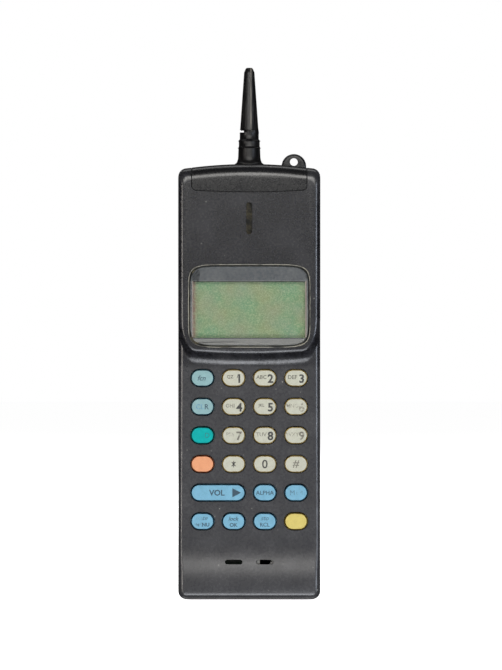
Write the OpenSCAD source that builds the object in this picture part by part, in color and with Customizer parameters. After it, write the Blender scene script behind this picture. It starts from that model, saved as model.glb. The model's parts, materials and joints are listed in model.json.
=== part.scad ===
// Brick cell phone of the early 1990s: a slim upright handset with a raised display
// section, a rubber key panel, a screw-in stub antenna and a clip-on battery pack.
// Millimetres. It stands on its base: +Z runs to the antenna, the keys face -Y.

/* [Body] */
// Width across the sides
body_w = 57; // [53:0.5:62]
// Height from the base to the middle of the arched top
body_h = 174.8; // [171:0.1:186]
// Depth from the display face to the back of the battery
body_d = 28; // [27:0.5:32]
// Radius of the corners seen from the front
corner_r = 3.4; // [2.6:0.1:4.4]
// Fall of the arched top from its middle to the sides
top_drop = 2.2; // [1.2:0.1:3.2]
// Thickness of the moulded walls
wall = 1.8; // [1.5:0.1:2.1]
// Thickness of the crown above the inside of the case
crown_t = 4.5; // [4:0.1:5.5]
// Share of the depth that the front cover takes, up to the parting line
front_share = 0.465; // [0.44:0.005:0.49]
// Radius of the upright edges at the back
back_r = 4; // [2.5:0.25:5.5]
// Radius of the top edge at the back
back_top_r = 6; // [4:0.5:8]

/* [Front face] */
// Height of the step below the display section, as a share of the case's height
display_share = 0.5655; // [0.555:0.0005:0.58]
// Height of that step above the key panel
step_h = 2.6; // [2:0.1:3]
// Radius of the step's upper edge
step_r = 3; // [2.4:0.1:3.6]
// Radius of the hollow at the foot of the step
cove_r = 7.5; // [6.5:0.1:8.5]
// Sag of the step in the middle of the face
step_sag = 0.8; // [0:0.1:1.5]
// Width of the drawn-in shoulders beside the step
shoulder_w = 4.5; // [3:0.5:7]
// Height of the drawn-in shoulders beside the step
shoulder_h = 11.5; // [8:0.5:16]
// Radius of the side edges of the display section
side_r = 2.6; // [1.4:0.1:2.8]
// Radius of the top edge at the front
top_r = 5; // [3.5:0.25:6.5]
// Radius of the side edges of the key panel
panel_r = 2; // [1:0.1:2.2]
// Rise of the chin above the key panel
chin_rise = 2; // [1.2:0.1:2.5]
// Height of the crest of the chin
chin_z = 5; // [4.75:0.25:7]
// Radius of the side edges of the chin
chin_r = 2.6; // [1.6:0.1:3.2]
// Radius of the bottom edge at the front
bottom_r = 2.6; // [1.6:0.1:3.2]

/* [Badge panel] */
// Distance of the bare badge panel from the sides of the case
badge_margin = 5.3; // [4.5:0.1:8]
// Height of the badge panel below the top of the case
badge_h = 11.5; // [9:0.25:13]
// Thickness of the badge panel
badge_t = 1.6; // [1.2:0.1:2]
// Radius of its lower corners
badge_r = 2; // [1:0.25:3]
// Sag of its lower edge
badge_sag = 0.8; // [0.3:0.1:1.5]
// How far it wraps back over the top
badge_wrap = 9.5; // [8.5:0.25:11]

/* [Display] */
// Distance of the window from the sides of the case
window_margin = 4; // [3.4:0.05:5]
// Height of the window
window_h = 33.4; // [32:0.2:36]
// Squareness of the bulged window outline
window_n = 7; // [5:0.5:10]
// Height of the window's lower edge above the step
window_rise = 2.2; // [1.8:0.1:3]
// Depth of the window below the face
window_inset = 0.2; // [0:0.05:0.4]
// Thickness of the window
window_t = 1.4; // [1:0.1:1.6]
// Width of the adhesive ring under the window
seal_w = 0.9; // [0.6:0.1:1]
// Thickness of the adhesive ring
seal_t = 0.15; // [0.1:0.05:0.25]
// Thickness of the ledge behind the window
ledge_t = 1.2; // [0.9:0.1:1.4]
// Distance of the picture area from the sides of the window
lcd_margin = 1.6; // [1.45:0.05:3]
// Height of the picture area
lcd_h = 22.8; // [20:0.2:24]
// Fall of the picture area below the middle of the window
lcd_drop = 1.7; // [1:0.1:2.2]
// Thickness of the glass of the picture area
lcd_t = 1.8; // [1.4:0.1:2]

/* [Keys] */
// Width of a key
key_w = 9.2; // [8:0.1:9.8]
// Height of a key
key_h = 6.7; // [5.5:0.1:7.5]
// Distance of the outer key columns from the sides of the case
key_margin = 9.75; // [9.4:0.05:10.2]
// Distance of the first key row below the step
key_drop = 10; // [9.8:0.1:11]
// How far a key stands above the key panel
key_proud = 1.3; // [0.8:0.1:1.8]
// Radius of a key's top edge
key_edge = 0.6; // [0.3:0.05:0.9]
// Gap round a key in its hole
key_gap = 0.35; // [0.3:0.01:0.45]
// Travel of a key
key_travel = 1; // [0.6:0.1:1.2]
// Overhang of the flange at the foot of a key
key_lip = 0.9; // [0.7:0.05:1]
// Thickness of the rubber mat between the keys
mat_t = 1; // [0.8:0.05:1.2]

/* [Sound] */
// Width of the earpiece slot
ear_slot_w = 2.4; // [1.8:0.1:3]
// Distance of the ends of the earpiece slot from the rim of the capsule
ear_slot_margin = 2.85; // [2.6:0.05:4.5]
// Distance of the earpiece below the badge panel, as a share of the room down to the window
ear_share = 0.36; // [0.356:0.002:0.4]
// Room between the earpiece capsule and the badge panel
ear_room = 0.3; // [0.2:0.05:2]
// Width of a microphone slot
mic_slot_w = 7; // [6:0.1:8]
// Height of a microphone slot
mic_slot_h = 1.9; // [1.5:0.1:2.4]
// Height of the microphone slots
mic_z = 15.1; // [13:0.1:17]
// Distance of the microphone slots below the last key row
mic_drop = 16.3; // [15:0.1:18]
// Radius of the microphone capsule
mic_r = 3; // [2.5:0.1:3.4]

/* [Antenna] */
// Distance of the antenna behind the parting line
antenna_back = 6; // [6:0.1:7]
// Height of the antenna above its washer
antenna_h = 39.2; // [36:0.1:44]
// Diameter of the stub at its tip
antenna_tip_d = 4.2; // [4:0.1:5]
// Diameter of the stub above the flexible neck
antenna_root_d = 7.4; // [7:0.1:8]
// Diameter of the neck
neck_d = 8.8; // [8.4:0.1:9.4]
// Height of the neck up to the split
neck_h = 12.9; // [11:0.1:13.5]
// Diameter of the flared foot
foot_d = 11.6; // [11:0.1:12]
// Width of the split at the top of the neck
split_w = 1; // [0.8:0.1:2]
// Diameter of the screw thread
thread_d = 6; // [5:0.25:6.5]
// Length of the screw thread
thread_h = 3; // [2.5:0.1:3.5]

/* [Strap eye] */
// Distance of the strap eye from the side of the case
eye_margin = 10.4; // [9:0.1:12.5]
// Outer radius of the strap eye
eye_r = 5; // [4.4:0.1:5.6]
// Radius of the hole in the strap eye
eye_hole_r = 1.6; // [1.4:0.05:1.8]
// Thickness of the strap eye
eye_t = 3.6; // [3:0.1:4.4]

/* [Battery] */
// Depth of the battery pack
battery_d = 7.8; // [7:0.1:8.4]
// Height of the battery pack, as a share of the case's height
battery_share = 0.664; // [0.64:0.004:0.672]
// Thickness of the battery's walls
battery_wall = 1.4; // [1.2:0.1:1.8]
// Height of the toe that the battery stands on
toe_h = 4; // [3.5:0.1:4.5]
// Height of the lip that hooks the battery
hook_h = 1.6; // [1.2:0.1:1.8]
// Thickness of that lip
hook_t = 1.1; // [0.9:0.05:1.3]
// Width of the latch button
latch_w = 15.4; // [12:0.2:17]
// Height of the latch button
latch_h = 8.2; // [7:0.2:9]
// Travel of the latch
latch_travel = 2.5; // [2:0.1:2.8]

/* [Boards] */
// Thickness of the circuit boards
board_t = 1.6; // [1.2:0.1:1.8]
// Radius of the screw bosses
boss_r = 2.6; // [2.4:0.05:2.8]
// Distance of the screws from the inside of the sides
screw_margin = 4.7; // [4.2:0.1:5.7]
// Height of the lower screws
screw_low_z = 9.5; // [9:0.1:11]
// Distance of the upper screws below the top of the case
screw_drop = 11.5; // [11:0.1:13]
// Radius of the screw shanks
screw_r = 1; // [0.8:0.05:1.1]
// Radius of the screw heads
screw_head_r = 1.9; // [1.7:0.05:2]

/* [Hidden] */
$fn = 48;
// Clearance between pieces that seat on each other, and between pieces that slide
fit = 0.1;
slide = 0.3;
// Overshoot of cuts past the face that they open
cut = 1;

// Depth stations
front_y = -body_d / 2;
back_y = body_d / 2;
panel_y = front_y + step_h;
panel_inner_y = panel_y + wall;
chin_y = panel_y - chin_rise;
front_depth = body_d * front_share;
parting_y = front_y + front_depth;
bay_gap = 0.2;
battery_y = back_y - battery_d;
bay_y = battery_y - bay_gap;
floor_y = bay_y - wall;

// Keys, mat and boards behind the key panel
mat_y = panel_inner_y + fit;
flange_y = mat_y + mat_t + fit;
flange_t = 0.8;
board_y = flange_y + flange_t + key_travel + fit;
board_back_y = board_y + board_t;
solder_gap = 1.2;
radio_back_y = floor_y - solder_gap;
radio_y = radio_back_y - board_t;

// Window, picture glass and light guide behind the display section
display_z = body_h * display_share;
window_w = body_w - 2 * window_margin;
lcd_w = window_w - 2 * lcd_margin;
window_y = front_y + window_inset;
window_back_y = window_y + window_t;
ledge_y = window_back_y + seal_t;
pocket_y = ledge_y + ledge_t;
frame_y = pocket_y + fit;
frame_lip = 0.8;
lcd_y = frame_y + frame_lip + fit;
guide_y = lcd_y + lcd_t + fit;
window_z = display_z + window_rise + window_h / 2;
window_top_z = window_z + window_h / 2;
lcd_z = window_z - lcd_drop;
lcd_border = 0.5;
glass_side = 0.8;
glass_end = 1.6;
glass_w = lcd_w + 2 * glass_side;
glass_h = lcd_h + 2 * glass_end;
frame_wall = 1.2;
frame_w = glass_w + 2 * (fit + frame_wall);
frame_h = glass_h + 2 * (fit + frame_wall);
frame_r = 3.6;

// Outline of the case seen from the front
arch_r = (pow(body_w / 2, 2) + pow(top_drop, 2)) / (2 * top_drop);
inner_w = body_w - 2 * wall;
inner_top_z = body_h - crown_t;
base_t = wall + 0.4;
pocket_w = max(body_w - 2 * side_r - 2, frame_w + 2 * slide);
badge_w = body_w - 2 * badge_margin;
badge_z = body_h - badge_h;
badge_back_y = front_y + badge_wrap;
step_turn = acos(1 - step_h / (step_r + cove_r));
shoulder_x = body_w / 2 - side_r - shoulder_w;
shoulder_z = display_z + step_r * sin(step_turn) + shoulder_h;

// Rows of keys and the chin below them
key_rows = 6;
key_columns = 4;
key_top_y = panel_y - key_proud;
last_row_z = mic_z + mic_drop;
key_pitch_x = (body_w - 2 * key_margin) / (key_columns - 1);
key_pitch_z = (display_z - key_drop - last_row_z) / (key_rows - 1);
function column_x(c) = (c - (key_columns - 1) / 2) * key_pitch_x;
function row_z(r) = display_z - key_drop - r * key_pitch_z;
chin_gap = 5.5;
chin_top_z = last_row_z - key_h / 2 - chin_gap;
mic_x = key_pitch_x / 2;
boot_t = 0.8;

// Earpiece between the badge panel and the window
ear_field = badge_z - window_top_z;
ear_z = badge_z - ear_share * ear_field;
ear_r = ear_share * ear_field - badge_sag - ear_room;
ear_slot_h = 2 * (ear_r - ear_slot_margin);
ear_y = front_y + wall + fit;
felt_t = 0.5;
felt_margin = 1;
felt_r = ear_r - felt_margin;

// Battery bay and latch
battery_h = body_h * battery_share;
battery_z = toe_h + slide;
battery_top_z = battery_z + battery_h;
bay_top_z = battery_top_z + 2 * slide;
hook_z = toe_h + hook_h;
heel_y = back_y - hook_t - slide;
lid_t = 1;
tray_w = body_w - 2 * battery_wall;
tray_top_z = battery_top_z - 4;
tray_h = tray_top_z - battery_z - battery_wall;
latch_plate_t = 1.2;
latch_y = back_y - wall - fit - latch_plate_t;
latch_plate_w = latch_w + 5;
latch_z = bay_top_z + wall + slide;
latch_plate_h = latch_h + 4.3;
latch_top_z = latch_z + latch_plate_h;
button_z = latch_z + 2;
tooth_w = 8;
tooth_h = 2.2;
spring_h = 6;
spring_r = 0.75;
spring_wire = 0.16;
spring_y = back_y - wall - fit - spring_r - spring_wire;
shelf_z = latch_top_z + spring_h;
shelf_t = 1.5;
rail_t = 1.2;
latch_notch_h = tooth_h + 2 * slide;

// Antenna seat in the crown
antenna_y = parting_y + antenna_back;
washer_t = 0.5;
antenna_z = body_h + washer_t;
socket_wall = 1.5;
socket_r = thread_d / 2 + socket_wall;
socket_flange_t = 1.5;
socket_flange_r = (socket_r + back_y - wall - antenna_y) / 2;
coil_r = 1.25;
wire_r = 0.3;
coil_bore_r = coil_r + wire_r + 0.25;
stud_r = 2.1;
stud_h = 6;

// Strap eye on the crown
eye_x = body_w / 2 - eye_margin;
eye_y = antenna_y;
eye_lift = 0.6;
eye_z = body_h - (arch_r - sqrt(pow(arch_r, 2) - pow(eye_x, 2))) + eye_lift;
eye_hole_z = eye_z + eye_hole_r + 0.2;

// Screws
screw_x = inner_w / 2 - screw_margin;
screw_high_z = body_h - screw_drop;
screw_head_h = 1.4;
screw_seat_y = bay_y - screw_head_h - fit;
screw_tip_y = panel_inner_y + 2;
screw_places = [for (x = [-screw_x, screw_x], z = [screw_low_z, screw_high_z]) [x, z]];

// Battery contacts and the heights of the radio board
contact_xs = [-8, 0, 8];
contact_w = 3;
contact_t = 0.3;
contact_z = battery_top_z - 20;
contact_foot_h = 5;
contact_reach_h = 3.5;
radio_low_z = 10.1;
radio_reach = 28.6;
radio_top_z = bay_top_z + radio_reach;

// Accessory connector in the base
connector_w = 22;
connector_y = parting_y + 1.3;
connector_d = floor_y - slide - connector_y;

case_colour = "#403f43";
rear_colour = "#343337";
board_colour = "#2f6b45";
metal_colour = "#b9bcc0";
brass_colour = "#c8a860";
rubber_colour = "#3a393c";
cream = "#cfccb0";
grey_blue = "#8ab4c2";
blue = "#79b5d2";

// Each key: name, column of its middle, row, columns that it spans, colour
KEYS = [
    ["key_function", 0, 0, 1, grey_blue],
    ["key_1", 1, 0, 1, cream],
    ["key_2", 2, 0, 1, cream],
    ["key_3", 3, 0, 1, cream],
    ["key_clear", 0, 1, 1, grey_blue],
    ["key_4", 1, 1, 1, cream],
    ["key_5", 2, 1, 1, cream],
    ["key_6", 3, 1, 1, cream],
    ["key_call", 0, 2, 1, "#10acaf"],
    ["key_7", 1, 2, 1, cream],
    ["key_8", 2, 2, 1, cream],
    ["key_9", 3, 2, 1, cream],
    ["key_end", 0, 3, 1, "#eba57a"],
    ["key_star", 1, 3, 1, cream],
    ["key_0", 2, 3, 1, cream],
    ["key_hash", 3, 3, 1, cream],
    ["key_volume", 0.5, 4, 2, blue],
    ["key_alpha", 2, 4, 1, blue],
    ["key_store", 3, 4, 1, blue],
    ["key_menu", 0, 5, 1, blue],
    ["key_ok", 1, 5, 1, blue],
    ["key_recall", 2, 5, 1, blue],
    ["key_power", 3, 5, 1, "#dcc870"],
];
function key_x(k) = column_x(k[1]);
function key_z(k) = row_z(k[2]);
function key_width(k) = key_w + (k[3] - 1) * key_pitch_x;

// Inset of a rounded edge of radius r at the depth u below the face
function edge_inset(r, u) = u >= r ? 0 : r - sqrt(r * r - (r - u) * (r - u));

// A flat shape in x and z, extruded from the depth y0 to the depth y1
module facing(y0, y1) {
    translate([0, y1, 0])
        rotate([90, 0, 0])
            linear_extrude(y1 - y0)
                children();
}

// A side profile in y and z, extruded across the width w
module across(w) {
    translate([-w / 2, 0, 0])
        rotate([90, 0, 90])
            linear_extrude(w)
                children();
}

module rounded_rect(w, h, r) {
    square([w - 2 * r, h], center = true);
    square([w, h - 2 * r], center = true);
    for (x = [-1, 1], z = [-1, 1])
        translate([x * (w / 2 - r), z * (h / 2 - r)])
            circle(r);
}

module stadium(w, h) {
    square([w - h, h], center = true);
    for (x = [-1, 1])
        translate([x * (w - h) / 2, 0])
            circle(h / 2);
}

// Bulged outline of the window, with the size w by h
module bulged_rect(w, h) {
    steps = 72;
    polygon([for (i = [0:steps - 1])
        let (c = cos(360 * i / steps), s = sin(360 * i / steps))
        [w / 2 * sign(c) * pow(abs(c), 2 / window_n), h / 2 * sign(s) * pow(abs(s), 2 / window_n)]]);
}

// Solid through a stack of rings that all have the same number of points.
// Each ring runs anticlockwise as seen from the side of the first ring.
module loft(rings) {
    n = len(rings[0]);
    last = len(rings) - 1;
    points = [for (ring = rings) each ring];
    sides = [for (k = [0:last - 1], i = [0:n - 1])
        let (j = (i + 1) % n)
        each [[k * n + i, k * n + j, (k + 1) * n + j], [k * n + i, (k + 1) * n + j, (k + 1) * n + i]]];
    first_cap = [for (i = [n - 1:-1:0]) i];
    last_cap = [for (i = [0:n - 1]) last * n + i];
    polyhedron(points, concat(sides, [first_cap, last_cap]), convexity = 6);
}

// Sine of the slope where a rounding of radius r has sunk by u
function slope_sine(r, u) = sqrt(max(0, 1 - pow(1 - u / r, 2)));

// Lower edge of the display section at the depth u: a rounded edge that runs into a hollow
function step_edge_z(u) =
    u <= step_r * (1 - cos(step_turn)) ? display_z + step_r * (sin(step_turn) - slope_sine(step_r, u))
    : display_z - cove_r * (sin(step_turn) - slope_sine(cove_r, max(0, step_h - u)));

// Outline of the display section at the depth u below its face
function display_ring(u) =
    let (
        half = body_w / 2 - edge_inset(side_r, u),
        drop = edge_inset(top_r, u),
        radius = arch_r - drop,
        low = step_edge_z(u),
        rx = half - shoulder_x,
        rz = shoulder_z - low,
        flat = half - corner_r,
        corner_z = body_h - drop - radius + sqrt(radius * radius - flat * flat) - corner_r,
        bottom = [for (i = [-4:4])
            [i / 4 * shoulder_x, low - step_sag * (1 - pow(i / 4, 2))]],
        shoulder = [for (t = [15:15:90])
            [shoulder_x + rx * sin(t), shoulder_z - rz * cos(t)]],
        corner = [for (t = [0:15:90])
            [flat + corner_r * cos(t), corner_z + corner_r * sin(t)]],
        arch = [for (i = [3:-1:-3])
            [i / 4 * flat, body_h - drop - radius + sqrt(radius * radius - pow(i / 4 * flat, 2))]],
        left = [for (p = concat(shoulder, corner)) [-p[0], p[1]]],
        last = len(left) - 1,
        outline = concat(bottom, shoulder, corner, arch, [for (i = [last:-1:0]) left[i]])
    )
    [for (p = outline) [p[0], front_y + u, p[1]]];

// Raised display section with its rounded edges and the hollow at its foot
module display_form() {
    depths = concat(
        [for (i = [0:5]) step_r * (1 - cos(step_turn * i / 5))],
        [for (i = [5:-1:0]) step_h - cove_r * (1 - cos(step_turn * i / 6))],
        [for (i = [1:3]) step_h + (top_r - step_h) * i / 3],
        [front_depth]
    );
    loft([for (u = depths) display_ring(u)]);
}

// Share of the chin's rise at the height z
function chin_share(z) =
    z <= chin_z ? 1
    : z >= chin_top_z ? 0
    : (1 + cos(180 * (z - chin_z) / (chin_top_z - chin_z))) / 2;

// Depth of the key panel and chin at the height z
function face_y(z) = panel_y - chin_rise * chin_share(z) + edge_inset(bottom_r, z);

// Section of the lower front at the height z
function panel_ring(z) =
    let (
        half = body_w / 2 - edge_inset(corner_r, z),
        y = face_y(z),
        r = panel_r + (chin_r - panel_r) * chin_share(z),
        right = [for (t = [0:15:90]) [half - r + r * sin(t), y + r - r * cos(t)]],
        last = len(right) - 1,
        outline = concat(
            [for (i = [last:-1:0]) [-right[i][0], right[i][1]]],
            right,
            [[half, parting_y], [-half, parting_y]]
        )
    )
    [for (p = outline) [p[0], p[1], z]];

// Key panel and chin
module panel_form() {
    heights = concat(
        [for (t = [0:15:90]) bottom_r * (1 - cos(t))],
        [max(corner_r, bottom_r + 0.4), chin_z],
        [for (i = [1:12]) chin_z + (chin_top_z - chin_z) * i / 12],
        [shoulder_z]
    );
    last = len(heights) - 1;
    loft([for (i = [last:-1:0]) panel_ring(heights[i])]);
}

// Front outline of the case: rounded corners and an arched top
module case_outline() {
    flat = body_w / 2 - corner_r;
    top = body_h - arch_r + sqrt(arch_r * arch_r - flat * flat);
    translate([0, top / 2])
        rounded_rect(body_w, top, corner_r);
    intersection() {
        translate([-flat, body_h / 2])
            square([2 * flat, body_h]);
        translate([0, body_h - arch_r])
            circle(arch_r, $fn = 720);
    }
}

// Outline of the badge panel, grown all round by g
module badge_outline(g) {
    half = badge_w / 2 - badge_r;
    sag_r = (pow(badge_w / 2, 2) + pow(badge_sag, 2)) / (2 * badge_sag);
    low = badge_z + sag_r - sqrt(sag_r * sag_r - half * half);
    h = body_h + cut - low;
    translate([0, low + h / 2])
        rounded_rect(badge_w + 2 * g, h + 2 * g, badge_r + g);
    intersection() {
        translate([-half, badge_z - g])
            square([2 * half, badge_h]);
        translate([0, badge_z + sag_r])
            circle(sag_r + g, $fn = 360);
    }
}

// Section of the top front edge, sunk by d: distance from the arch centre against -y
module crown_section(d, back) {
    low = arch_r - badge_h - top_r;
    bend = arch_r - top_r;
    translate([low, -back])
        square([bend - low, back - front_y - d]);
    translate([low, -back])
        square([arch_r - d - low, back - front_y - top_r]);
    intersection() {
        translate([bend, -front_y - top_r])
            circle(top_r - d);
        translate([bend - fit, -front_y - top_r - fit])
            square(top_r + cut + fit);
    }
}

// A section swept along the arch of the top, in the given steps for a full turn
module along_arch(steps) {
    half_angle = asin((badge_w / 2 + 2) / (arch_r - badge_h - top_r));
    translate([0, 0, body_h - arch_r])
        rotate([90, 0, 0])
            rotate([0, 0, 90 - half_angle])
                rotate_extrude(angle = 2 * half_angle, $fn = steps)
                    children();
}

module badge_panel() {
    color(case_colour)
        intersection() {
            along_arch(720)
                difference() {
                    crown_section(0, badge_back_y);
                    crown_section(badge_t, badge_back_y + cut);
                }
            facing(front_y - cut, back_y)
                badge_outline(0);
        }
}

// Room for the badge panel in the front cover
module badge_recess() {
    intersection() {
        along_arch(180)
            difference() {
                crown_section(-cut, badge_back_y + fit);
                crown_section(badge_t + fit, badge_back_y + cut);
            }
        facing(front_y - 2 * cut, back_y)
            badge_outline(fit);
    }
}

// Rows of key holes through a sheet, each grown by g round the key
module key_holes(y0, y1, g) {
    for (k = KEYS)
        translate([key_x(k), 0, key_z(k)])
            hull()
                for (s = [-1, 1])
                    translate([s * (key_width(k) - key_h) / 2, y1, 0])
                        rotate([90, 0, 0])
                            cylinder(r = key_h / 2 + g, h = y1 - y0, $fn = 28);
}

// Inside of the front cover
module front_cavity() {
    facing(panel_inner_y, parting_y + cut)
        translate([-inner_w / 2, base_t])
            square([inner_w, inner_top_z - base_t]);
    ear_low = window_top_z + wall;
    ear_high = ear_z + ear_r + fit;
    facing(front_y + wall, panel_inner_y + cut)
        translate([0, (ear_low + ear_high) / 2])
            rounded_rect(pocket_w, ear_high - ear_low, frame_r);
    pocket_low = lcd_z - frame_h / 2 - slide;
    pocket_high = ear_low + cut;
    facing(pocket_y, panel_inner_y + cut)
        translate([0, (pocket_low + pocket_high) / 2])
            rounded_rect(pocket_w, pocket_high - pocket_low, frame_r + slide);
}

// Lip of the rear cover that fits inside the front cover's edge, grown by g
module parting_lip(g) {
    lip_t = wall / 2;
    lip_h = 1;
    w = inner_w + 2 * lip_t - 2 * fit + 2 * g;
    facing(parting_y - lip_h - g, parting_y + fit)
        translate([-w / 2, base_t - lip_t + fit - g])
            square([w, inner_top_z - base_t + 2 * (lip_t - fit + g)]);
}

module front_cover() {
    $fn = 32;
    ear_ring_h = 2.5;
    color(case_colour)
        difference() {
            union() {
                difference() {
                    union() {
                        panel_form();
                        display_form();
                    }
                    front_cavity();
                    parting_lip(fit);
                }
                translate([0, ear_y - cut, ear_z])
                    rotate([-90, 0, 0])
                        difference() {
                            cylinder(r = ear_r + slide + wall / 2, h = ear_ring_h + cut);
                            translate([0, 0, cut - fit])
                                cylinder(r = ear_r + slide, h = ear_ring_h + cut);
                        }
                for (p = screw_places)
                    translate([p[0], parting_y, p[1]])
                        rotate([90, 0, 0])
                            cylinder(r = boss_r, h = parting_y - panel_inner_y + fit);
            }
            badge_recess();
            facing(front_y - cut, ledge_y)
                translate([0, window_z])
                    bulged_rect(window_w + 2 * fit, window_h + 2 * fit);
            facing(front_y - cut, pocket_y + cut)
                translate([0, lcd_z])
                    square([lcd_w + 2 * lcd_border, lcd_h + 2 * lcd_border], center = true);
            key_holes(panel_y - cut, panel_inner_y + cut, key_gap);
            facing(front_y - cut, front_y + wall + fit)
                translate([0, ear_z])
                    rotate(90)
                        stadium(ear_slot_h, ear_slot_w);
            for (s = [-1, 1])
                facing(chin_y - cut, panel_inner_y + cut)
                    translate([s * mic_x, mic_z])
                        stadium(mic_slot_w, mic_slot_h);
            for (p = screw_places)
                translate([p[0], parting_y + cut, p[1]])
                    rotate([90, 0, 0])
                        cylinder(r = screw_r + fit / 2, h = parting_y + cut - screw_tip_y + 2 * fit);
        }
}

// Plan of the back, sunk by d: upright edges rounded
module back_plan(d) {
    half = body_w / 2 - d;
    r = back_r - d / 2;
    low = parting_y - 2 * cut;
    translate([-half, low])
        square([2 * half, back_y - d - r - low]);
    translate([r - half, low])
        square([2 * (half - r), back_y - d - low]);
    for (s = [-1, 1])
        translate([s * (half - r), back_y - d - r])
            circle(r);
}

// Side profile of the rear cover: shallow behind the battery, full depth above it, toe below
module rear_profile() {
    top = body_h + cut;
    translate([parting_y, 0])
        square([bay_y - parting_y, top]);
    translate([parting_y, bay_top_z])
        square([back_y - parting_y, body_h - back_top_r - bay_top_z]);
    translate([parting_y, bay_top_z])
        square([back_y - back_top_r - parting_y, top - bay_top_z]);
    translate([back_y - back_top_r, body_h - back_top_r])
        circle(back_top_r);
    toe_r = toe_h / 2;
    translate([parting_y, 0])
        square([back_y - toe_r - parting_y, toe_h]);
    translate([parting_y, toe_r])
        square([back_y - parting_y, toe_h - toe_r]);
    translate([back_y - toe_r, toe_r])
        circle(toe_r);
    chamfer = hook_t / 2;
    polygon([
        [back_y - hook_t, toe_h - fit],
        [back_y, toe_h - fit],
        [back_y, hook_z - chamfer],
        [back_y - hook_t + chamfer, hook_z],
        [back_y - hook_t, hook_z],
    ]);
}

// Rails, stop and spring shelf that carry the latch plate
module latch_guides() {
    depth = latch_plate_t + 2 * slide + 0.6;
    y = back_y - wall - depth;
    side = latch_plate_w / 2 + slide;
    for (s = [-1, 1])
        translate([s * (side + rail_t / 2) - rail_t / 2, y, latch_z])
            cube([rail_t, depth + fit, shelf_z + shelf_t - latch_z]);
    for (s = [-1, 1])
        translate([s * (side - fit) - rail_t / 2, y - 0.6, latch_z])
            cube([rail_t, 1, shelf_z - latch_z]);
    translate([-side - rail_t, y, shelf_z])
        cube([2 * (side + rail_t), depth + fit, shelf_t]);
}

// Inside of the rear cover
module rear_cavity() {
    intersection() {
        translate([0, 0, base_t])
            linear_extrude(inner_top_z - base_t)
                back_plan(wall);
        across(body_w)
            union() {
                translate([parting_y - 2 * cut, 0])
                    square([floor_y - parting_y + 2 * cut, body_h]);
                translate([parting_y, bay_top_z + wall])
                    square([back_y - parting_y, body_h]);
            }
    }
}

module strap_eye() {
    edge = eye_t / 3;
    translate([eye_x, eye_y, eye_z])
        rotate([90, 0, 0])
            rotate_extrude()
                union() {
                    translate([0, -eye_t / 2])
                        square([eye_r - edge, eye_t]);
                    translate([0, edge - eye_t / 2])
                        square([eye_r, eye_t - 2 * edge]);
                    for (s = [-1, 1])
                        translate([eye_r - edge, s * (eye_t / 2 - edge)])
                            circle(edge);
                }
}

// Place of each upright slot for a battery contact
module contact_slots() {
    for (x = contact_xs)
        translate([x - contact_w / 2 - slide, floor_y - cut, contact_z - slide])
            cube([contact_w + 2 * slide, wall + 2 * cut, 2 * contact_reach_h + 2 * slide]);
}

module rear_cover() {
    rib_w = 2;
    rib_x = inner_w / 2 - 3;
    rib_z = radio_low_z + 10;
    color(rear_colour)
        difference() {
            union() {
                difference() {
                    union() {
                        intersection() {
                            facing(parting_y, back_y + cut)
                                case_outline();
                            across(body_w + cut)
                                rear_profile();
                            linear_extrude(body_h + cut)
                                back_plan(0);
                        }
                        strap_eye();
                    }
                    rear_cavity();
                }
                intersection() {
                    parting_lip(0);
                    difference() {
                        translate([-body_w / 2, parting_y - 2 * cut, 0])
                            cube([body_w, 3 * cut, body_h]);
                        translate([-inner_w / 2, parting_y - 3 * cut, base_t])
                            cube([inner_w, 5 * cut, inner_top_z - base_t]);
                    }
                }
                latch_guides();
                for (p = screw_places)
                    translate([p[0], floor_y + fit, p[1]])
                        rotate([90, 0, 0])
                            cylinder(r = boss_r, h = floor_y - parting_y + fit);
                for (x = [-screw_x, screw_x])
                    translate([x, back_y - wall + fit, screw_high_z])
                        rotate([90, 0, 0])
                            cylinder(r = boss_r + wall / 2, h = back_y - wall - floor_y + 2 * fit);
                for (s = [-1, 1])
                    translate([s * rib_x - rib_w / 2, radio_back_y + fit, rib_z])
                        cube([rib_w, floor_y - radio_back_y, contact_z - rib_z]);
            }
            for (p = screw_places) {
                translate([p[0], screw_seat_y + cut, p[1]])
                    rotate([90, 0, 0])
                        cylinder(r = screw_r + 2 * fit, h = body_d);
                translate([p[0], back_y + cut, p[1]])
                    rotate([90, 0, 0])
                        cylinder(r = screw_head_r + slide, h = back_y + cut - screw_seat_y);
            }
            translate([0, antenna_y, inner_top_z - cut])
                cylinder(r = socket_r + fit / 2, h = crown_t + 2 * cut);
            translate([eye_x, eye_y + eye_t, eye_hole_z])
                rotate([90, 0, 0])
                    cylinder(r = eye_hole_r, h = 2 * eye_t);
            translate([-latch_w / 2 - slide, back_y - wall - cut, button_z - slide])
                cube([latch_w + 2 * slide, wall + 2 * cut, latch_h + latch_travel + 2 * slide]);
            translate([-tooth_w / 2 - slide, latch_y - slide, bay_top_z - cut])
                cube([tooth_w + 2 * slide, latch_plate_t + 2 * slide, wall + 2 * cut]);
            translate([-connector_w / 2 - fit, connector_y - fit, -cut])
                cube([connector_w + 2 * fit, connector_d + 2 * fit, wall + 2 * cut]);
            contact_slots();
        }
}

module display_window() {
    color("#9aa49a", 0.35)
        facing(window_y, window_back_y)
            translate([0, window_z])
                bulged_rect(window_w, window_h);
}

module window_seal() {
    color("#8d8468")
        facing(window_back_y, ledge_y)
            translate([0, window_z])
                difference() {
                    bulged_rect(window_w, window_h);
                    bulged_rect(window_w - 2 * seal_w, window_h - 2 * seal_w);
                }
}

module lcd_frame() {
    color("#2b2b2e")
        difference() {
            facing(frame_y, board_y - fit)
                translate([0, lcd_z])
                    rounded_rect(frame_w, frame_h, frame_r);
            facing(frame_y - cut, board_y)
                translate([0, lcd_z])
                    square([lcd_w, lcd_h], center = true);
            facing(frame_y + frame_lip, board_y)
                translate([0, lcd_z])
                    square([glass_w + 2 * fit, glass_h + 2 * fit], center = true);
        }
}

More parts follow.
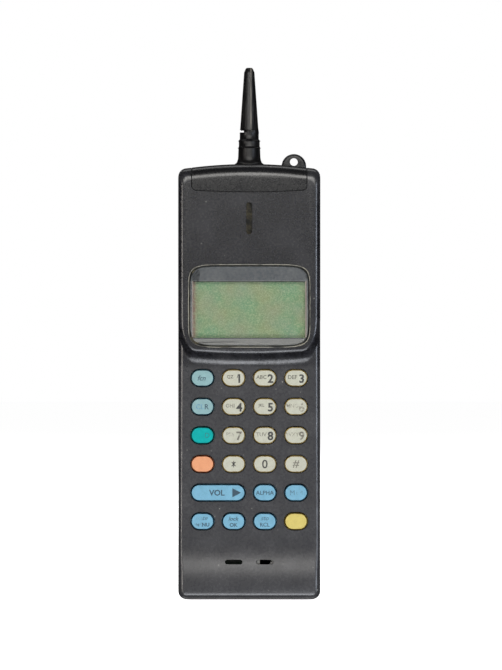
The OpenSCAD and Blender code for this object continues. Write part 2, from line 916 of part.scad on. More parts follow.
module lcd_glass() {
    color("#849a79")
        facing(lcd_y, lcd_y + lcd_t)
            translate([0, lcd_z])
                square([glass_w, glass_h], center = true);
}

module light_guide() {
    color("#dfe6d2")
        facing(guide_y, board_y - fit)
            translate([0, lcd_z])
                square([glass_w, glass_h], center = true);
}

// Earpiece capsule: a wide rim, a narrower magnet pot behind it and a dished front
module earpiece() {
    rim_h = 2.2;
    pot_r = ear_r * 0.62;
    dish = 0.5;
    front = ear_y + felt_t + fit;
    color("#26262a")
        translate([0, front, ear_z])
            rotate([-90, 0, 0])
                difference() {
                    union() {
                        cylinder(r = ear_r, h = rim_h);
                        cylinder(r = pot_r, h = board_y - fit - front);
                    }
                    translate([0, 0, -cut])
                        cylinder(r = ear_r - wall, h = cut + dish);
                }
}

module earpiece_felt() {
    color("#4b4536")
        translate([0, ear_y, ear_z])
            rotate([-90, 0, 0])
                cylinder(r = felt_r, h = felt_t);
}

module microphone() {
    color(metal_colour)
        translate([mic_x, panel_inner_y + fit + boot_t, mic_z])
            rotate([-90, 0, 0])
                cylinder(r = mic_r, h = board_y - panel_inner_y - 2 * fit - boot_t);
}

// Rubber boot that seals the microphone to its slot, with a snout in the slot
module microphone_boot() {
    snout_sink = 0.8;
    snout_y = face_y(mic_z) + snout_sink;
    block_w = 2 * mic_r + 4;
    block_h = 2 * mic_r + 2;
    port_w = 3.9;
    color("#6d6c6a")
        difference() {
            union() {
                facing(panel_inner_y + fit, board_y - fit)
                    translate([mic_x, mic_z])
                        rounded_rect(block_w, block_h, 1.5);
                facing(snout_y, panel_inner_y + 2 * fit)
                    translate([mic_x, mic_z])
                        stadium(mic_slot_w - 2 * fit, mic_slot_h - 2 * fit);
            }
            facing(snout_y - cut, board_y)
                translate([mic_x, mic_z])
                    square([port_w, mic_slot_h - 4 * fit], center = true);
            translate([mic_x, panel_inner_y + boot_t, mic_z])
                rotate([-90, 0, 0])
                    cylinder(r = mic_r + fit, h = board_y - panel_inner_y);
        }
}

// Rubber mat that lies behind the key panel, with an opening for each key
module keypad_mat() {
    low_margin = 2.6;
    high_margin = 3;
    side_margin = 1;
    mat_corner_r = 2;
    low = last_row_z - key_h / 2 - low_margin;
    high = row_z(0) + key_h / 2 + high_margin;
    color("#5b5a5c")
        facing(mat_y, mat_y + mat_t)
            difference() {
                translate([0, (low + high) / 2])
                    rounded_rect(inner_w - 2 * side_margin, high - low, mat_corner_r);
                for (k = KEYS)
                    translate([key_x(k), key_z(k)])
                        if (k[3] > 1)
                            stadium(key_width(k) + 2 * (key_lip + slide), key_h + 2 * (key_lip + slide));
                        else
                            stadium(key_width(k) + 2 * slide, key_h + 2 * slide);
            }
}

// Half of a key's section: distance from its middle against depth below its top
module key_section(depth) {
    half = key_h / 2;
    square([half - key_edge, depth]);
    translate([0, key_edge])
        square([half, depth - key_edge]);
    translate([half - key_edge, key_edge])
        circle(key_edge);
}

// One rubber key: rounded top, straight sides and a flange that stays behind the panel
module key(k) {
    w = key_width(k);
    depth = flange_y - key_top_y;
    color(k[4])
        translate([key_x(k), key_top_y, key_z(k)])
            rotate([-90, 0, 0]) {
                for (s = [-1, 1])
                    translate([s * (w - key_h) / 2, 0, 0])
                        rotate_extrude()
                            key_section(depth + flange_t);
                translate([-(w - key_h) / 2, 0, 0])
                    rotate([90, 0, 90])
                        linear_extrude(w - key_h)
                            union() {
                                key_section(depth + flange_t);
                                mirror([1, 0])
                                    key_section(depth + flange_t);
                            }
                translate([0, 0, depth])
                    linear_extrude(flange_t)
                        stadium(w + 2 * key_lip, key_h + 2 * key_lip);
            }
}

// Flat board between two heights, notched round the screw bosses
module notched_board(w, low, high, y) {
    facing(y, y + board_t)
        difference() {
            translate([-w / 2, low])
                square([w, high - low]);
            for (p = screw_places)
                translate(p)
                    circle(boss_r + slide);
        }
}

module main_board() {
    color(board_colour)
        notched_board(inner_w - 2 * slide, wall + 2, inner_top_z - 2, board_y);
}

// Logic chips on the back of the main board, on a square grid: middle in x and z, width, height
module logic_chips() {
    chip_t = 1.1;
    grid = 2;
    chips = grid * [[-4.5, 20, 10, 7], [4, 31, 7, 7], [-3, 44, 12, 6]];
    color("#26272a")
        for (c = chips)
            translate([c[0] - c[2] / 2, board_back_y, c[1] - c[3] / 2])
                cube([c[2], chip_t, c[3]]);
}

// Plug and socket that join the two boards
module board_connector() {
    w = 28;
    h = 4;
    color("#d8d4c4")
        translate([-w / 2, board_back_y, bay_top_z])
            cube([w, radio_y - board_back_y, h]);
}

module radio_board() {
    color(board_colour)
        notched_board(inner_w - 4 * slide, radio_low_z, radio_top_z, radio_y);
}

// Folded screening can on the radio board, with one partition
module rf_shield() {
    chip_room = 1.5;
    margin = 6;
    sheet_t = 0.5;
    foot_room = 7.9;
    top_room = 5;
    low = radio_low_z + foot_room;
    high = bay_top_z - top_room;
    w = inner_w - 2 * margin;
    front = board_back_y + chip_room;
    color(metal_colour)
        difference() {
            translate([-w / 2, front, low])
                cube([w, radio_y - front, high - low]);
            for (z = [low + sheet_t, (low + high + sheet_t) / 2])
                translate([sheet_t - w / 2, front + sheet_t, z])
                    cube([w - 2 * sheet_t, radio_y - front, (high - low - 3 * sheet_t) / 2]);
        }
}

// Metal block that parts the sent signal from the received one
module duplex_filter() {
    d = 5.2;
    h = 22;
    inner_x = 4;
    top_room = 2;
    w = screw_x - inner_x;
    color("#c9ccd0")
        translate([-screw_x, radio_back_y, radio_top_z - top_room - h])
            cube([w, d, h]);
}

// Round ringer with a sound hole in its middle
module ringer() {
    ringer_r = 7;
    ringer_h = 4.5;
    hole_r = 1.2;
    drop = 12;
    inner_x = 8;
    color("#1f1f22")
        translate([screw_x - inner_x, radio_back_y, radio_top_z - drop])
            rotate([-90, 0, 0])
                difference() {
                    cylinder(r = ringer_r, h = ringer_h);
                    translate([0, 0, ringer_h - cut])
                        cylinder(r = hole_r, h = 2 * cut);
                }
}

// Accessory connector at the base: a row of contact wells in a plain block
module system_connector() {
    well_pitch = 2;
    well_w = 1.2;
    well_margin = connector_d / 5;
    wells = 9;
    low = 0.8;
    color("#1d1d1f")
        difference() {
            translate([-connector_w / 2, connector_y, low])
                cube([connector_w, connector_d, radio_low_z - fit - low]);
            for (i = [0:wells - 1])
                translate([(i - (wells - 1) / 2) * well_pitch - well_w / 2, connector_y + well_margin, low - cut])
                    cube([well_w, connector_d - 2 * well_margin, 2 * cut]);
        }
}

// Sprung strips that reach through the floor to the battery
module battery_contacts() {
    tip_y = battery_y - fit;
    foot_z = contact_z - contact_foot_h;
    mid_z = contact_z + contact_reach_h;
    t = contact_t;
    color(brass_colour)
        for (x = contact_xs)
            translate([x, 0, 0])
                across(contact_w)
                    polygon([
                        [radio_back_y, foot_z],
                        [radio_back_y + t, foot_z],
                        [radio_back_y + t, contact_z - t],
                        [tip_y, mid_z - t],
                        [tip_y, mid_z + t],
                        [floor_y + t, contact_z + 2 * contact_reach_h],
                        [floor_y, contact_z + 2 * contact_reach_h],
                        [tip_y - t, mid_z],
                        [radio_back_y, contact_z],
                    ]);
}

module antenna_socket() {
    top = body_h - 0.2;
    low = inner_top_z - fit - socket_flange_t;
    color(brass_colour)
        translate([0, antenna_y, 0])
            difference() {
                union() {
                    translate([0, 0, low])
                        cylinder(r = socket_r, h = top - low);
                    translate([0, 0, low])
                        cylinder(r = socket_flange_r, h = socket_flange_t);
                }
                translate([0, 0, low - cut])
                    cylinder(r = thread_d / 2, h = top - low + 2 * cut);
            }
}

// Sprung strip from the radio board to the antenna socket
module antenna_contact() {
    t = 0.4;
    strip_w = 4;
    foot_h = 8;
    top = inner_top_z - socket_flange_t - 2 * fit;
    color(brass_colour)
        across(strip_w)
            polygon([
                [radio_back_y, radio_top_z - foot_h],
                [radio_back_y + t, radio_top_z - foot_h],
                [radio_back_y + t, top - t],
                [antenna_y + socket_r, top - t],
                [antenna_y + socket_r, top],
                [radio_back_y, top],
            ]);
}

module case_screws() {
    color(metal_colour)
        for (p = screw_places)
            translate([p[0], screw_seat_y, p[1]]) {
                rotate([90, 0, 0])
                    cylinder(r = screw_r, h = screw_seat_y - screw_tip_y);
                rotate([-90, 0, 0])
                    difference() {
                        cylinder(r = screw_head_r, h = screw_head_h);
                        for (a = [0, 90])
                            rotate(a)
                                translate([-screw_r, -0.25, screw_head_h / 2])
                                    cube([2 * screw_r, 0.5, screw_head_h]);
                    }
            }
}

// Helix of round wire, drawn as rings of points along the turns
module wire_helix(radius, wire, height, turns, steps) {
    count = turns * steps;
    sides = 6;
    rise = height - 2 * wire;
    lean = atan(rise / (turns * 2 * PI * radius));
    loft([for (i = [count:-1:0])
        let (a = 360 * i / steps, z = wire + rise * i / count)
        [for (j = [0:sides - 1])
            let (b = 360 * j / sides, out = radius + wire * cos(b), up = wire * sin(b))
            [out * cos(a) + up * sin(lean) * sin(a), out * sin(a) - up * sin(lean) * cos(a), z + up * cos(lean)]]]);
}

// Helical spring that pushes the latch down
module latch_spring() {
    color(metal_colour)
        translate([0, spring_y, latch_top_z + fit])
            wire_helix(spring_r, spring_wire, spring_h - 2 * fit, 6, 8);
}

// Latch: sliding plate behind the wall, ribbed button in the window, tooth in the battery
module battery_latch() {
    grooves = 4;
    groove_pitch = (latch_h - 2) / (grooves - 1);
    button_y = latch_y + latch_plate_t;
    button_d = back_y - 0.2 - button_y;
    color("#2c2b2f")
        difference() {
            union() {
                translate([-latch_plate_w / 2, latch_y, latch_z])
                    cube([latch_plate_w, latch_plate_t, latch_plate_h]);
                translate([-latch_w / 2, button_y - fit, button_z])
                    cube([latch_w, button_d + fit, latch_h]);
                translate([-tooth_w / 2, latch_y, battery_top_z - tooth_h])
                    cube([tooth_w, latch_plate_t, latch_z - battery_top_z + tooth_h + fit]);
            }
            for (i = [0:grooves - 1])
                translate([-latch_w / 2 - cut, button_y + button_d, button_z + 1 + i * groove_pitch])
                    rotate([0, 90, 0])
                        cylinder(r = 0.55, h = latch_w + 2 * cut, $fn = 16);
        }
}

// Tray of the battery pack, open towards the phone and hooked at its heel
module battery_case() {
    color(rear_colour)
        difference() {
            intersection() {
                facing(battery_y, back_y + cut)
                    translate([0, battery_z + battery_h / 2])
                        rounded_rect(body_w + fit, battery_h, 1);
                linear_extrude(battery_top_z + cut)
                    back_plan(0);
            }
            translate([-tray_w / 2, battery_y - cut, battery_z + battery_wall])
                cube([tray_w, battery_d - battery_wall + cut, tray_h]);
            translate([-body_w / 2 - cut, heel_y, battery_z - cut])
                cube([body_w + 2 * cut, battery_d, hook_z + slide - battery_z + cut]);
            translate([-tooth_w / 2 - slide, battery_y - cut, battery_top_z - latch_notch_h])
                cube([tooth_w + 2 * slide, latch_y + latch_plate_t + slide - battery_y + cut, latch_notch_h + cut]);
        }
}

module battery_lid() {
    color("#3c3b40")
        difference() {
            translate([fit - tray_w / 2, battery_y, battery_z + battery_wall + fit])
                cube([tray_w - 2 * fit, lid_t, tray_h - 2 * fit]);
            for (x = contact_xs)
                translate([x - contact_w / 2 - fit, battery_y - cut, contact_z - fit])
                    cube([contact_w + 2 * fit, cut + contact_t + fit, 2 * contact_reach_h + 2 * fit]);
        }
}

// Flat rechargeable cells in two rows, each with its positive cap
module battery_cells() {
    columns = 3;
    rows = 2;
    gap = 0.3;
    cap_h = 1;
    thick = battery_d - battery_wall - lid_t - 2 * gap;
    w = (tray_w - (columns + 1) * gap) / columns;
    h = (tray_h - (rows + 1) * gap) / rows;
    middle_y = battery_y + lid_t + gap + thick / 2;
    color("#56708f")
        for (c = [0:columns - 1], r = [0:rows - 1])
            translate([
                (c - (columns - 1) / 2) * (w + gap),
                middle_y,
                battery_z + battery_wall + gap + r * (h + gap),
            ]) {
                linear_extrude(h - cap_h)
                    rounded_rect(w, thick, 1.5);
                translate([0, 0, h - cap_h])
                    cylinder(r = 2, h = cap_h);
            }
}

module battery_terminals() {
    color(brass_colour)
        for (x = contact_xs)
            translate([x - contact_w / 2, battery_y + fit / 2, contact_z])
                cube([contact_w, contact_t, 2 * contact_reach_h]);
}

module antenna_washer() {
    color("#1c1c1e")
        translate([0, antenna_y, body_h + fit / 2])
            difference() {
                cylinder(r = foot_d / 2 - 0.4, h = washer_t - fit);
                translate([0, 0, -cut])
                    cylinder(r = thread_d / 2 + fit, h = washer_t + 2 * cut);
            }
}

// Rubber sleeve: flared foot, ringed neck, a torn split and the tapered stub
module antenna_sleeve() {
    foot_r = foot_d / 2;
    neck_r = neck_d / 2;
    root_r = antenna_root_d / 2;
    tip_r = antenna_tip_d / 2;
    flare_h = 3.3;
    flare_run = foot_r - neck_r - 0.1;
    ring_h = 0.5;
    ring_rise = 0.3;
    low_ring_z = neck_h * 0.495;
    high_ring_z = neck_h * 0.718;
    band_r = neck_r - 0.15;
    top_band_r = root_r + 0.15;
    stub_z = neck_h + split_w;
    core_r = root_r - 0.45;
    core_shift = 1;
    color(rubber_colour)
        translate([0, antenna_y, antenna_z])
            difference() {
                rotate_extrude()
                    polygon(concat(
                        [[0, 0], [foot_r, 0], [foot_r, 0.3]],
                        [for (t = [15:15:90])
                            [foot_r - flare_run * sin(t), 0.3 + flare_h * (1 - cos(t))]],
                        [
                            [neck_r, low_ring_z],
                            [neck_r + ring_rise, low_ring_z + ring_h / 2],
                            [neck_r, low_ring_z + ring_h],
                            [band_r, low_ring_z + 2 * ring_h],
                            [band_r, high_ring_z],
                            [band_r + ring_rise, high_ring_z + ring_h / 2],
                            [band_r, high_ring_z + ring_h],
                            [top_band_r, high_ring_z + 2 * ring_h],
                            [top_band_r, neck_h - ring_h],
                            [top_band_r + 0.1, neck_h],
                            [top_band_r, stub_z],
                            [root_r, stub_z + ring_h],
                            [tip_r, antenna_h - 1.8],
                            [tip_r - 0.6, antenna_h - 0.4],
                            [tip_r - 1, antenna_h],
                            [0, antenna_h],
                        ]
                    ));
                translate([0, 0, neck_h])
                    difference() {
                        cylinder(r = foot_r, h = split_w);
                        translate([core_shift, 0, -cut])
                            cylinder(r = core_r, h = split_w + 2 * cut);
                    }
                translate([0, 0, -cut])
                    cylinder(r = stud_r + fit, h = stud_h + cut + fit);
                cylinder(r = coil_bore_r, h = antenna_h - 8);
            }
}

// Helical radiator in the sleeve, standing on the stud
module antenna_coil() {
    color("#b87333")
        translate([0, antenna_y, antenna_z + stud_h + fit])
            wire_helix(coil_r, wire_r, antenna_h - 8 - stud_h - 2 * fit, 9, 8);
}

module antenna_stud() {
    color(brass_colour)
        translate([0, antenna_y, 0]) {
            translate([0, 0, body_h - thread_h])
                cylinder(r = thread_d / 2 - fit / 2, h = thread_h + washer_t - fit / 2);
            translate([0, 0, antenna_z - fit])
                cylinder(r = stud_r, h = stud_h + fit);
        }
}

front_cover();
rear_cover();
badge_panel();
display_window();
window_seal();
lcd_frame();
lcd_glass();
light_guide();
earpiece();
earpiece_felt();
microphone();
microphone_boot();
keypad_mat();
main_board();
logic_chips();
board_connector();
radio_board();
rf_shield();
duplex_filter();
ringer();
system_connector();
battery_contacts();
antenna_socket();
antenna_contact();
case_screws();
latch_spring();
battery_latch();
battery_case();
battery_lid();
battery_cells();
battery_terminals();
antenna_washer();
antenna_sleeve();
antenna_coil();
antenna_stud();
for (k = KEYS)
    key(k);
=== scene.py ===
import json
import math

import bmesh
import bpy
from mathutils import Matrix, Vector, noise

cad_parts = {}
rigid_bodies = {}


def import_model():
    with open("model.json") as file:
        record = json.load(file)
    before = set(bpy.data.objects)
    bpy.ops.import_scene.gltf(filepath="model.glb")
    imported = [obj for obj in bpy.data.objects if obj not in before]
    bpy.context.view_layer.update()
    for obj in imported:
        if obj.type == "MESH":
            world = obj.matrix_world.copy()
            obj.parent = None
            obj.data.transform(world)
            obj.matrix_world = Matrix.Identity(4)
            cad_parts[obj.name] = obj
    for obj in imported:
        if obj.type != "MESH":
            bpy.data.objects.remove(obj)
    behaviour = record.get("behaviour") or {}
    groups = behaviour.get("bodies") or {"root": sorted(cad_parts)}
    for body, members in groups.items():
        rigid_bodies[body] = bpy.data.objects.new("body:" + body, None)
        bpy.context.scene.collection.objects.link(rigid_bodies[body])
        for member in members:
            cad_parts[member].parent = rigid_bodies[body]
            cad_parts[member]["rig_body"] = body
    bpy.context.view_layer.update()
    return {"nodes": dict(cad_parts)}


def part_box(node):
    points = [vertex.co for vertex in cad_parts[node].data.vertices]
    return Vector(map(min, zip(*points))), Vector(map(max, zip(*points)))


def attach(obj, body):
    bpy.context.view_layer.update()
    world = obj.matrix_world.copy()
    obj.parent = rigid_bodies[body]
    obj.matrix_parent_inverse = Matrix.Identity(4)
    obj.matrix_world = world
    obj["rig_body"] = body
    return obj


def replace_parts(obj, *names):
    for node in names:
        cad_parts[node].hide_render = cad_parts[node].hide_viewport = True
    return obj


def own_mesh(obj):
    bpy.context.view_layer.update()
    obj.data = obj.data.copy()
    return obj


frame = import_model()

# Front cover: one injection moulding in charcoal ABS with a fine spark-eroded
# grain. The raised display section, the lower key panel and the rising chin are
# one skin, screwed to the rear cover from behind. Years of handling left dust,
# hairline scratches and a paler, polished key panel.
MM = 0.001
nodes = frame["nodes"]


def linear(code):
    """An sRGB hex colour as linear red, green, blue and alpha."""
    channels = [int(code[i:i + 2], 16) / 255 for i in (0, 2, 4)]
    toned = [c / 12.92 if c <= 0.04045 else ((c + 0.055) / 1.055) ** 2.4 for c in channels]
    return tuple(toned) + (1.0,)


def add_node(tree, kind, inputs=None, **settings):
    """One shader node with its settings, and its sockets linked or set."""
    node = tree.nodes.new("ShaderNode" + kind)
    for setting, value in settings.items():
        setattr(node, setting, value)
    for socket, value in (inputs or {}).items():
        if isinstance(value, bpy.types.NodeSocket):
            tree.links.new(value, node.inputs[socket])
        else:
            node.inputs[socket].default_value = value
    return node


def start_finish(name):
    """An empty material, its node tree and the place of a point on the piece."""
    finish = bpy.data.materials.new(name)
    finish.use_nodes = True
    tree = finish.node_tree
    tree.nodes.clear()
    return finish, tree, add_node(tree, "TexCoord").outputs["Object"]


def end_finish(tree, sockets):
    """Closes a material with its shader."""
    shader = add_node(tree, "BsdfPrincipled", sockets)
    add_node(tree, "OutputMaterial", {"Surface": shader.outputs[0]})


def moulded_abs(name, low, high, polished, dust, rough, panel_top=None, pit_mm=0.05, gloss=0.5):
    """ABS from a spark-eroded mould: a matt skin of tiny pits, with dust caught in
    it, hairline scratches, and polished patches that shine a little paler. gloss is
    the share of the skin that handling has polished smooth."""
    grain_mm, patch_mm, dust_cell_mm, dust_mm = 1.0, 9.0, 3.8, 0.3
    scratch_w_mm, scratch_gap_mm, scratch_l_mm, fade_mm = 0.35, 3.0, 9.0, 2.0
    finish, tree, place = start_finish(name)
    # The real pits are about 0.1 mm wide; they are drawn coarser so that they show.
    grain = add_node(tree, "TexNoise", {
        "Vector": place, "Scale": 1 / (grain_mm * MM), "Detail": 2.0,
    }).outputs[0]
    spread = add_node(tree, "MapRange", {0: grain, 1: 0.3, 2: 0.7}).outputs[0]
    colour = add_node(tree, "Mix", {
        0: spread, 6: linear(low), 7: linear(high),
    }, data_type="RGBA").outputs[2]
    patch = add_node(tree, "TexNoise", {
        "Vector": place, "Scale": 1 / (patch_mm * MM), "Detail": 3.0,
    }).outputs[0]
    wear = add_node(tree, "MapRange", {0: patch, 1: 0.42, 2: 0.68, 3: 0.0, 4: 0.45}).outputs[0]
    if panel_top is not None:
        height = add_node(tree, "SeparateXYZ", {0: place}).outputs[2]
        below = add_node(tree, "MapRange", {
            0: height, 1: panel_top, 2: panel_top - fade_mm * MM, 3: 0.0, 4: 0.5,
        }).outputs[0]
        wear = add_node(tree, "Math", {0: wear, 1: below}, operation="ADD", use_clamp=True).outputs[0]
    colour = add_node(tree, "Mix", {
        0: wear, 6: colour, 7: linear(polished),
    }, data_type="RGBA").outputs[2]
    # Hairline scratches are noise drawn out long and thin, both ways on a slant.
    for turn in (24, -38):
        slant = add_node(tree, "Mapping", {
            "Vector": place, "Rotation": (0.0, math.radians(turn), 0.0),
        }).outputs[0]
        drawn = add_node(tree, "Mapping", {"Vector": slant, "Scale": (
            1 / (scratch_w_mm * MM), 1 / (scratch_gap_mm * MM), 1 / (scratch_l_mm * MM),
        )}).outputs[0]
        hair = add_node(tree, "TexNoise", {"Vector": drawn, "Scale": 1.0, "Detail": 1.0}).outputs[0]
        scratch = add_node(tree, "MapRange", {0: hair, 1: 0.75, 2: 0.81, 3: 0.0, 4: 0.4}).outputs[0]
        colour = add_node(tree, "Mix", {
            0: scratch, 6: colour, 7: linear("58585a"),
        }, data_type="RGBA").outputs[2]
    # Dust lies as specks of dust_mm, one to a cell, and only on some patches.
    speck = add_node(tree, "TexVoronoi", {
        "Vector": place, "Scale": 1 / (dust_cell_mm * MM),
    }).outputs["Distance"]
    near = add_node(tree, "MapRange", {
        0: speck, 1: dust_mm / dust_cell_mm, 2: 0.5 * dust_mm / dust_cell_mm, 3: 0.0, 4: dust,
    }).outputs[0]
    thin = add_node(tree, "MapRange", {0: patch, 1: 0.4, 2: 0.6}).outputs[0]
    lint = add_node(tree, "Math", {0: near, 1: thin}, operation="MULTIPLY").outputs[0]
    colour = add_node(tree, "Mix", {
        0: lint, 6: colour, 7: linear("a8a7a0"),
    }, data_type="RGBA").outputs[2]
    shine = add_node(tree, "MapRange", {0: spread, 3: rough + 0.07, 4: rough - 0.07}).outputs[0]
    worn = add_node(tree, "MapRange", {0: patch, 1: 0.42, 2: 0.68, 3: 0.0, 4: 0.06}).outputs[0]
    shine = add_node(tree, "Math", {0: shine, 1: worn}, operation="SUBTRACT").outputs[0]
    pits = add_node(tree, "Bump", {
        "Height": grain, "Strength": 0.6, "Distance": pit_mm * MM,
    }).outputs[0]
    end_finish(tree, {
        "Base Color": colour, "Roughness": shine, "IOR": 1.5, "Normal": pits,
        "Coat Weight": gloss, "Coat Roughness": 0.2,
    })
    return finish


def plain_finish(name, low, high, grain_mm, rough, metallic=0.0, depth_mm=0.01):
    """A made surface with a grain of grain_mm: its colour wanders between two near
    tones and its bumps break up the shine."""
    finish, tree, place = start_finish(name)
    grain = add_node(tree, "TexNoise", {
        "Vector": place, "Scale": 1 / (grain_mm * MM), "Detail": 3.0,
    }).outputs[0]
    spread = add_node(tree, "MapRange", {0: grain, 1: 0.3, 2: 0.7}).outputs[0]
    colour = add_node(tree, "Mix", {
        0: spread, 6: linear(low), 7: linear(high),
    }, data_type="RGBA").outputs[2]
    shine = add_node(tree, "MapRange", {
        0: grain, 1: 0.3, 2: 0.7, 3: rough - 0.06, 4: rough + 0.06,
    }).outputs[0]
    bumps = add_node(tree, "Bump", {
        "Height": grain, "Strength": 0.4, "Distance": depth_mm * MM,
    }).outputs[0]
    end_finish(tree, {
        "Base Color": colour, "Roughness": shine, "Metallic": metallic, "Normal": bumps,
    })
    return finish


def set_piece(bm, name, finishes, body):
    """A finished shape as a piece with its finishes, riding on its body."""
    mesh = bpy.data.meshes.new(name)
    bm.to_mesh(mesh)
    bm.free()
    for finish in finishes:
        mesh.materials.append(finish)
    piece = bpy.data.objects.new(name, mesh)
    bpy.context.scene.collection.objects.link(piece)
    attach(piece, body)
    return piece


def dressed(node, name, finish, edge_mm=0.0, smooth=32):
    """A merged copy of a CAD node with its flats joined, its roundings smooth and its
    sharp edges broken by edge_mm, which stands for the node."""
    bm = bmesh.new()
    bm.from_mesh(nodes[node].data)
    bmesh.ops.remove_doubles(bm, verts=bm.verts, dist=0.002 * MM)
    bmesh.ops.dissolve_limit(bm, angle_limit=math.radians(0.4), verts=bm.verts, edges=bm.edges)
    for face in bm.faces:
        face.smooth = True
        face.material_index = 0
    for edge in bm.edges:
        edge.smooth = edge.calc_face_angle(math.pi) < math.radians(smooth)
    piece = set_piece(bm, name, [finish], nodes[node]["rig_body"])
    if edge_mm:
        soft = piece.modifiers.new("soft_edges", "BEVEL")
        soft.width = edge_mm * MM
        soft.segments = 2
        soft.limit_method = "ANGLE"
        soft.angle_limit = math.radians(smooth)
        soft.harden_normals = True
    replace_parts(piece, node)
    return piece


panel_top_z = 94.6 * MM
front_abs = moulded_abs("charcoal_abs_spark_eroded", "020203", "29292e", "464648", 0.85, 0.3,
                        panel_top_z, pit_mm=0.035)
dressed("front_cover", "front_cover_skin", front_abs, edge_mm=0.16)

# Badge panel: a thin ABS strip with an arched lower edge, pressed into its recess
# at the top of the front cover and held by tape. Its face is left bare.
badge_abs = moulded_abs("charcoal_abs_satin_strip", "09090a", "18181a", "202023", 0.4, 0.3,
                        pit_mm=0.025)
badge = dressed("badge_panel", "badge_strip", badge_abs, edge_mm=0.5)
# The strip's broken edge is painted near black: painted shade in the seam round the strip.
badge.data.materials.append(plain_finish("seam_painted_shade", "070707", "0c0c0c", 0.5, 0.8))
badge.modifiers["soft_edges"].material = 1

# Display: a liquid crystal glass in a black frame over a light guide, seen through
# a cast acrylic window. Its mask is printed on the back of the window, and the
# glue that holds the window in its recess has aged to a yellow line.


def paint_node(node, finish):
    """Gives a CAD node that keeps its shape its finish."""
    nodes[node].material_slots[0].material = finish


# Polariser film on glass, reflective and sage green, mottled where damp crept in:
# teal clouds over the middle and a pink bloom along the left edge.
picture_green, tree, place = start_finish("polariser_film_on_glass")
lcd_lo, lcd_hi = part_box("lcd_glass")
cloud_mm, cell_mm = 11.0, 0.55
bloom_end, bloom_full, red_end, red_full = 3.5 * MM, 0.5 * MM, 2.4 * MM, 1.2 * MM
cloud = add_node(tree, "TexNoise", {
    "Vector": place, "Scale": 1 / (cloud_mm * MM), "Detail": 5.0,
}).outputs[0]
cloud = add_node(tree, "MapRange", {0: cloud, 1: 0.36, 2: 0.62}).outputs[0]
film = add_node(tree, "Mix", {
    0: cloud, 6: linear("828d64"), 7: linear("678f67"),
}, data_type="RGBA").outputs[2]
across = add_node(tree, "SeparateXYZ", {0: place}).outputs[0]
bloom = add_node(tree, "MapRange", {
    0: across, 1: lcd_lo.x + bloom_end, 2: lcd_lo.x + bloom_full, 3: 0.0, 4: 0.9,
}).outputs[0]
film = add_node(tree, "Mix", {0: bloom, 6: film, 7: linear("967c66")}, data_type="RGBA").outputs[2]
edge = add_node(tree, "MapRange", {
    0: across, 1: lcd_lo.x + red_end, 2: lcd_lo.x + red_full, 3: 0.0, 4: 0.8,
}).outputs[0]
film = add_node(tree, "Mix", {0: edge, 6: film, 7: linear("a06a60")}, data_type="RGBA").outputs[2]
# The cells show as a fine speckle, cell_mm across.
cells = add_node(tree, "TexNoise", {
    "Vector": place, "Scale": 1 / (cell_mm * MM), "Detail": 1.0,
}).outputs[0]
cells = add_node(tree, "MapRange", {0: cells, 1: 0.4, 2: 0.75, 3: 0.0, 4: 0.8}).outputs[0]
film = add_node(tree, "Mix", {0: cells, 6: film, 7: linear("9cab86")}, data_type="RGBA").outputs[2]
end_finish(tree, {"Base Color": film, "Roughness": 0.5, "Specular IOR Level": 0.2})
paint_node("lcd_glass", picture_green)
paint_node("lcd_frame", plain_finish("black_abs_frame", "1a1a1b", "242425", 0.6, 0.5))
paint_node("light_guide", plain_finish("frosted_acrylic", "c9cdc6", "d8dbd4", 0.8, 0.55))
paint_node("window_seal", plain_finish("aged_adhesive_tape", "8d8263", "a59b7a", 0.9, 0.6))

# Screen ink behind the window, with painted light and shade: it turns darker and blue grey towards the
# top as painted shade, and warmer and paler towards the lower edge as painted light.
ink_painted_light_and_shade, tree, place = start_finish("screen_ink_painted_light_and_shade")
height = add_node(tree, "SeparateXYZ", {0: place}).outputs[2]
# The ramp from pale to blue grey with height is painted light and shade, not a change in the ink.
rise = add_node(tree, "MapRange", {0: height, 1: lcd_lo.z, 2: lcd_hi.z}).outputs[0]
ink = add_node(tree, "Mix", {
    0: rise, 6: linear("7a7a76"), 7: linear("3d4247"),
}, data_type="RGBA").outputs[2]
haze = add_node(tree, "TexNoise", {"Vector": place, "Scale": 1 / (1.2 * MM), "Detail": 3.0}).outputs[0]
haze = add_node(tree, "MapRange", {0: haze, 1: 0.35, 2: 0.7, 3: 0.0, 4: 0.2}).outputs[0]
ink = add_node(tree, "Mix", {0: haze, 6: ink, 7: linear("8a8a86")}, data_type="RGBA").outputs[2]
end_finish(tree, {"Base Color": ink, "Roughness": 0.5})

# Cast acrylic: clear, glossy and faintly dusty, so what lies behind stays visible.
acrylic, tree, place = start_finish("cast_acrylic_clear")
smear = add_node(tree, "TexNoise", {"Vector": place, "Scale": 1 / (7 * MM), "Detail": 4.0}).outputs[0]
veil = add_node(tree, "MapRange", {0: smear, 1: 0.4, 2: 0.75, 3: 0.02, 4: 0.1}).outputs[0]
gloss = add_node(tree, "MapRange", {0: smear, 1: 0.3, 2: 0.7, 3: 0.06, 4: 0.16}).outputs[0]
end_finish(tree, {"Base Color": linear("b9bcb8"), "Roughness": gloss, "IOR": 1.49, "Alpha": veil})

# Yellowed glue and chipped edge round the window, broken where it has worn off.
worn_edge, tree, place = start_finish("yellowed_glue_line")
chip = add_node(tree, "TexNoise", {"Vector": place, "Scale": 1 / (5 * MM), "Detail": 4.0}).outputs[0]
chip = add_node(tree, "MapRange", {0: chip, 1: 0.36, 2: 0.52}).outputs[0]
glue = add_node(tree, "Mix", {
    0: chip, 6: linear("4a4843"), 7: linear("9c988b"),
}, data_type="RGBA").outputs[2]
end_finish(tree, {"Base Color": glue, "Roughness": 0.5})

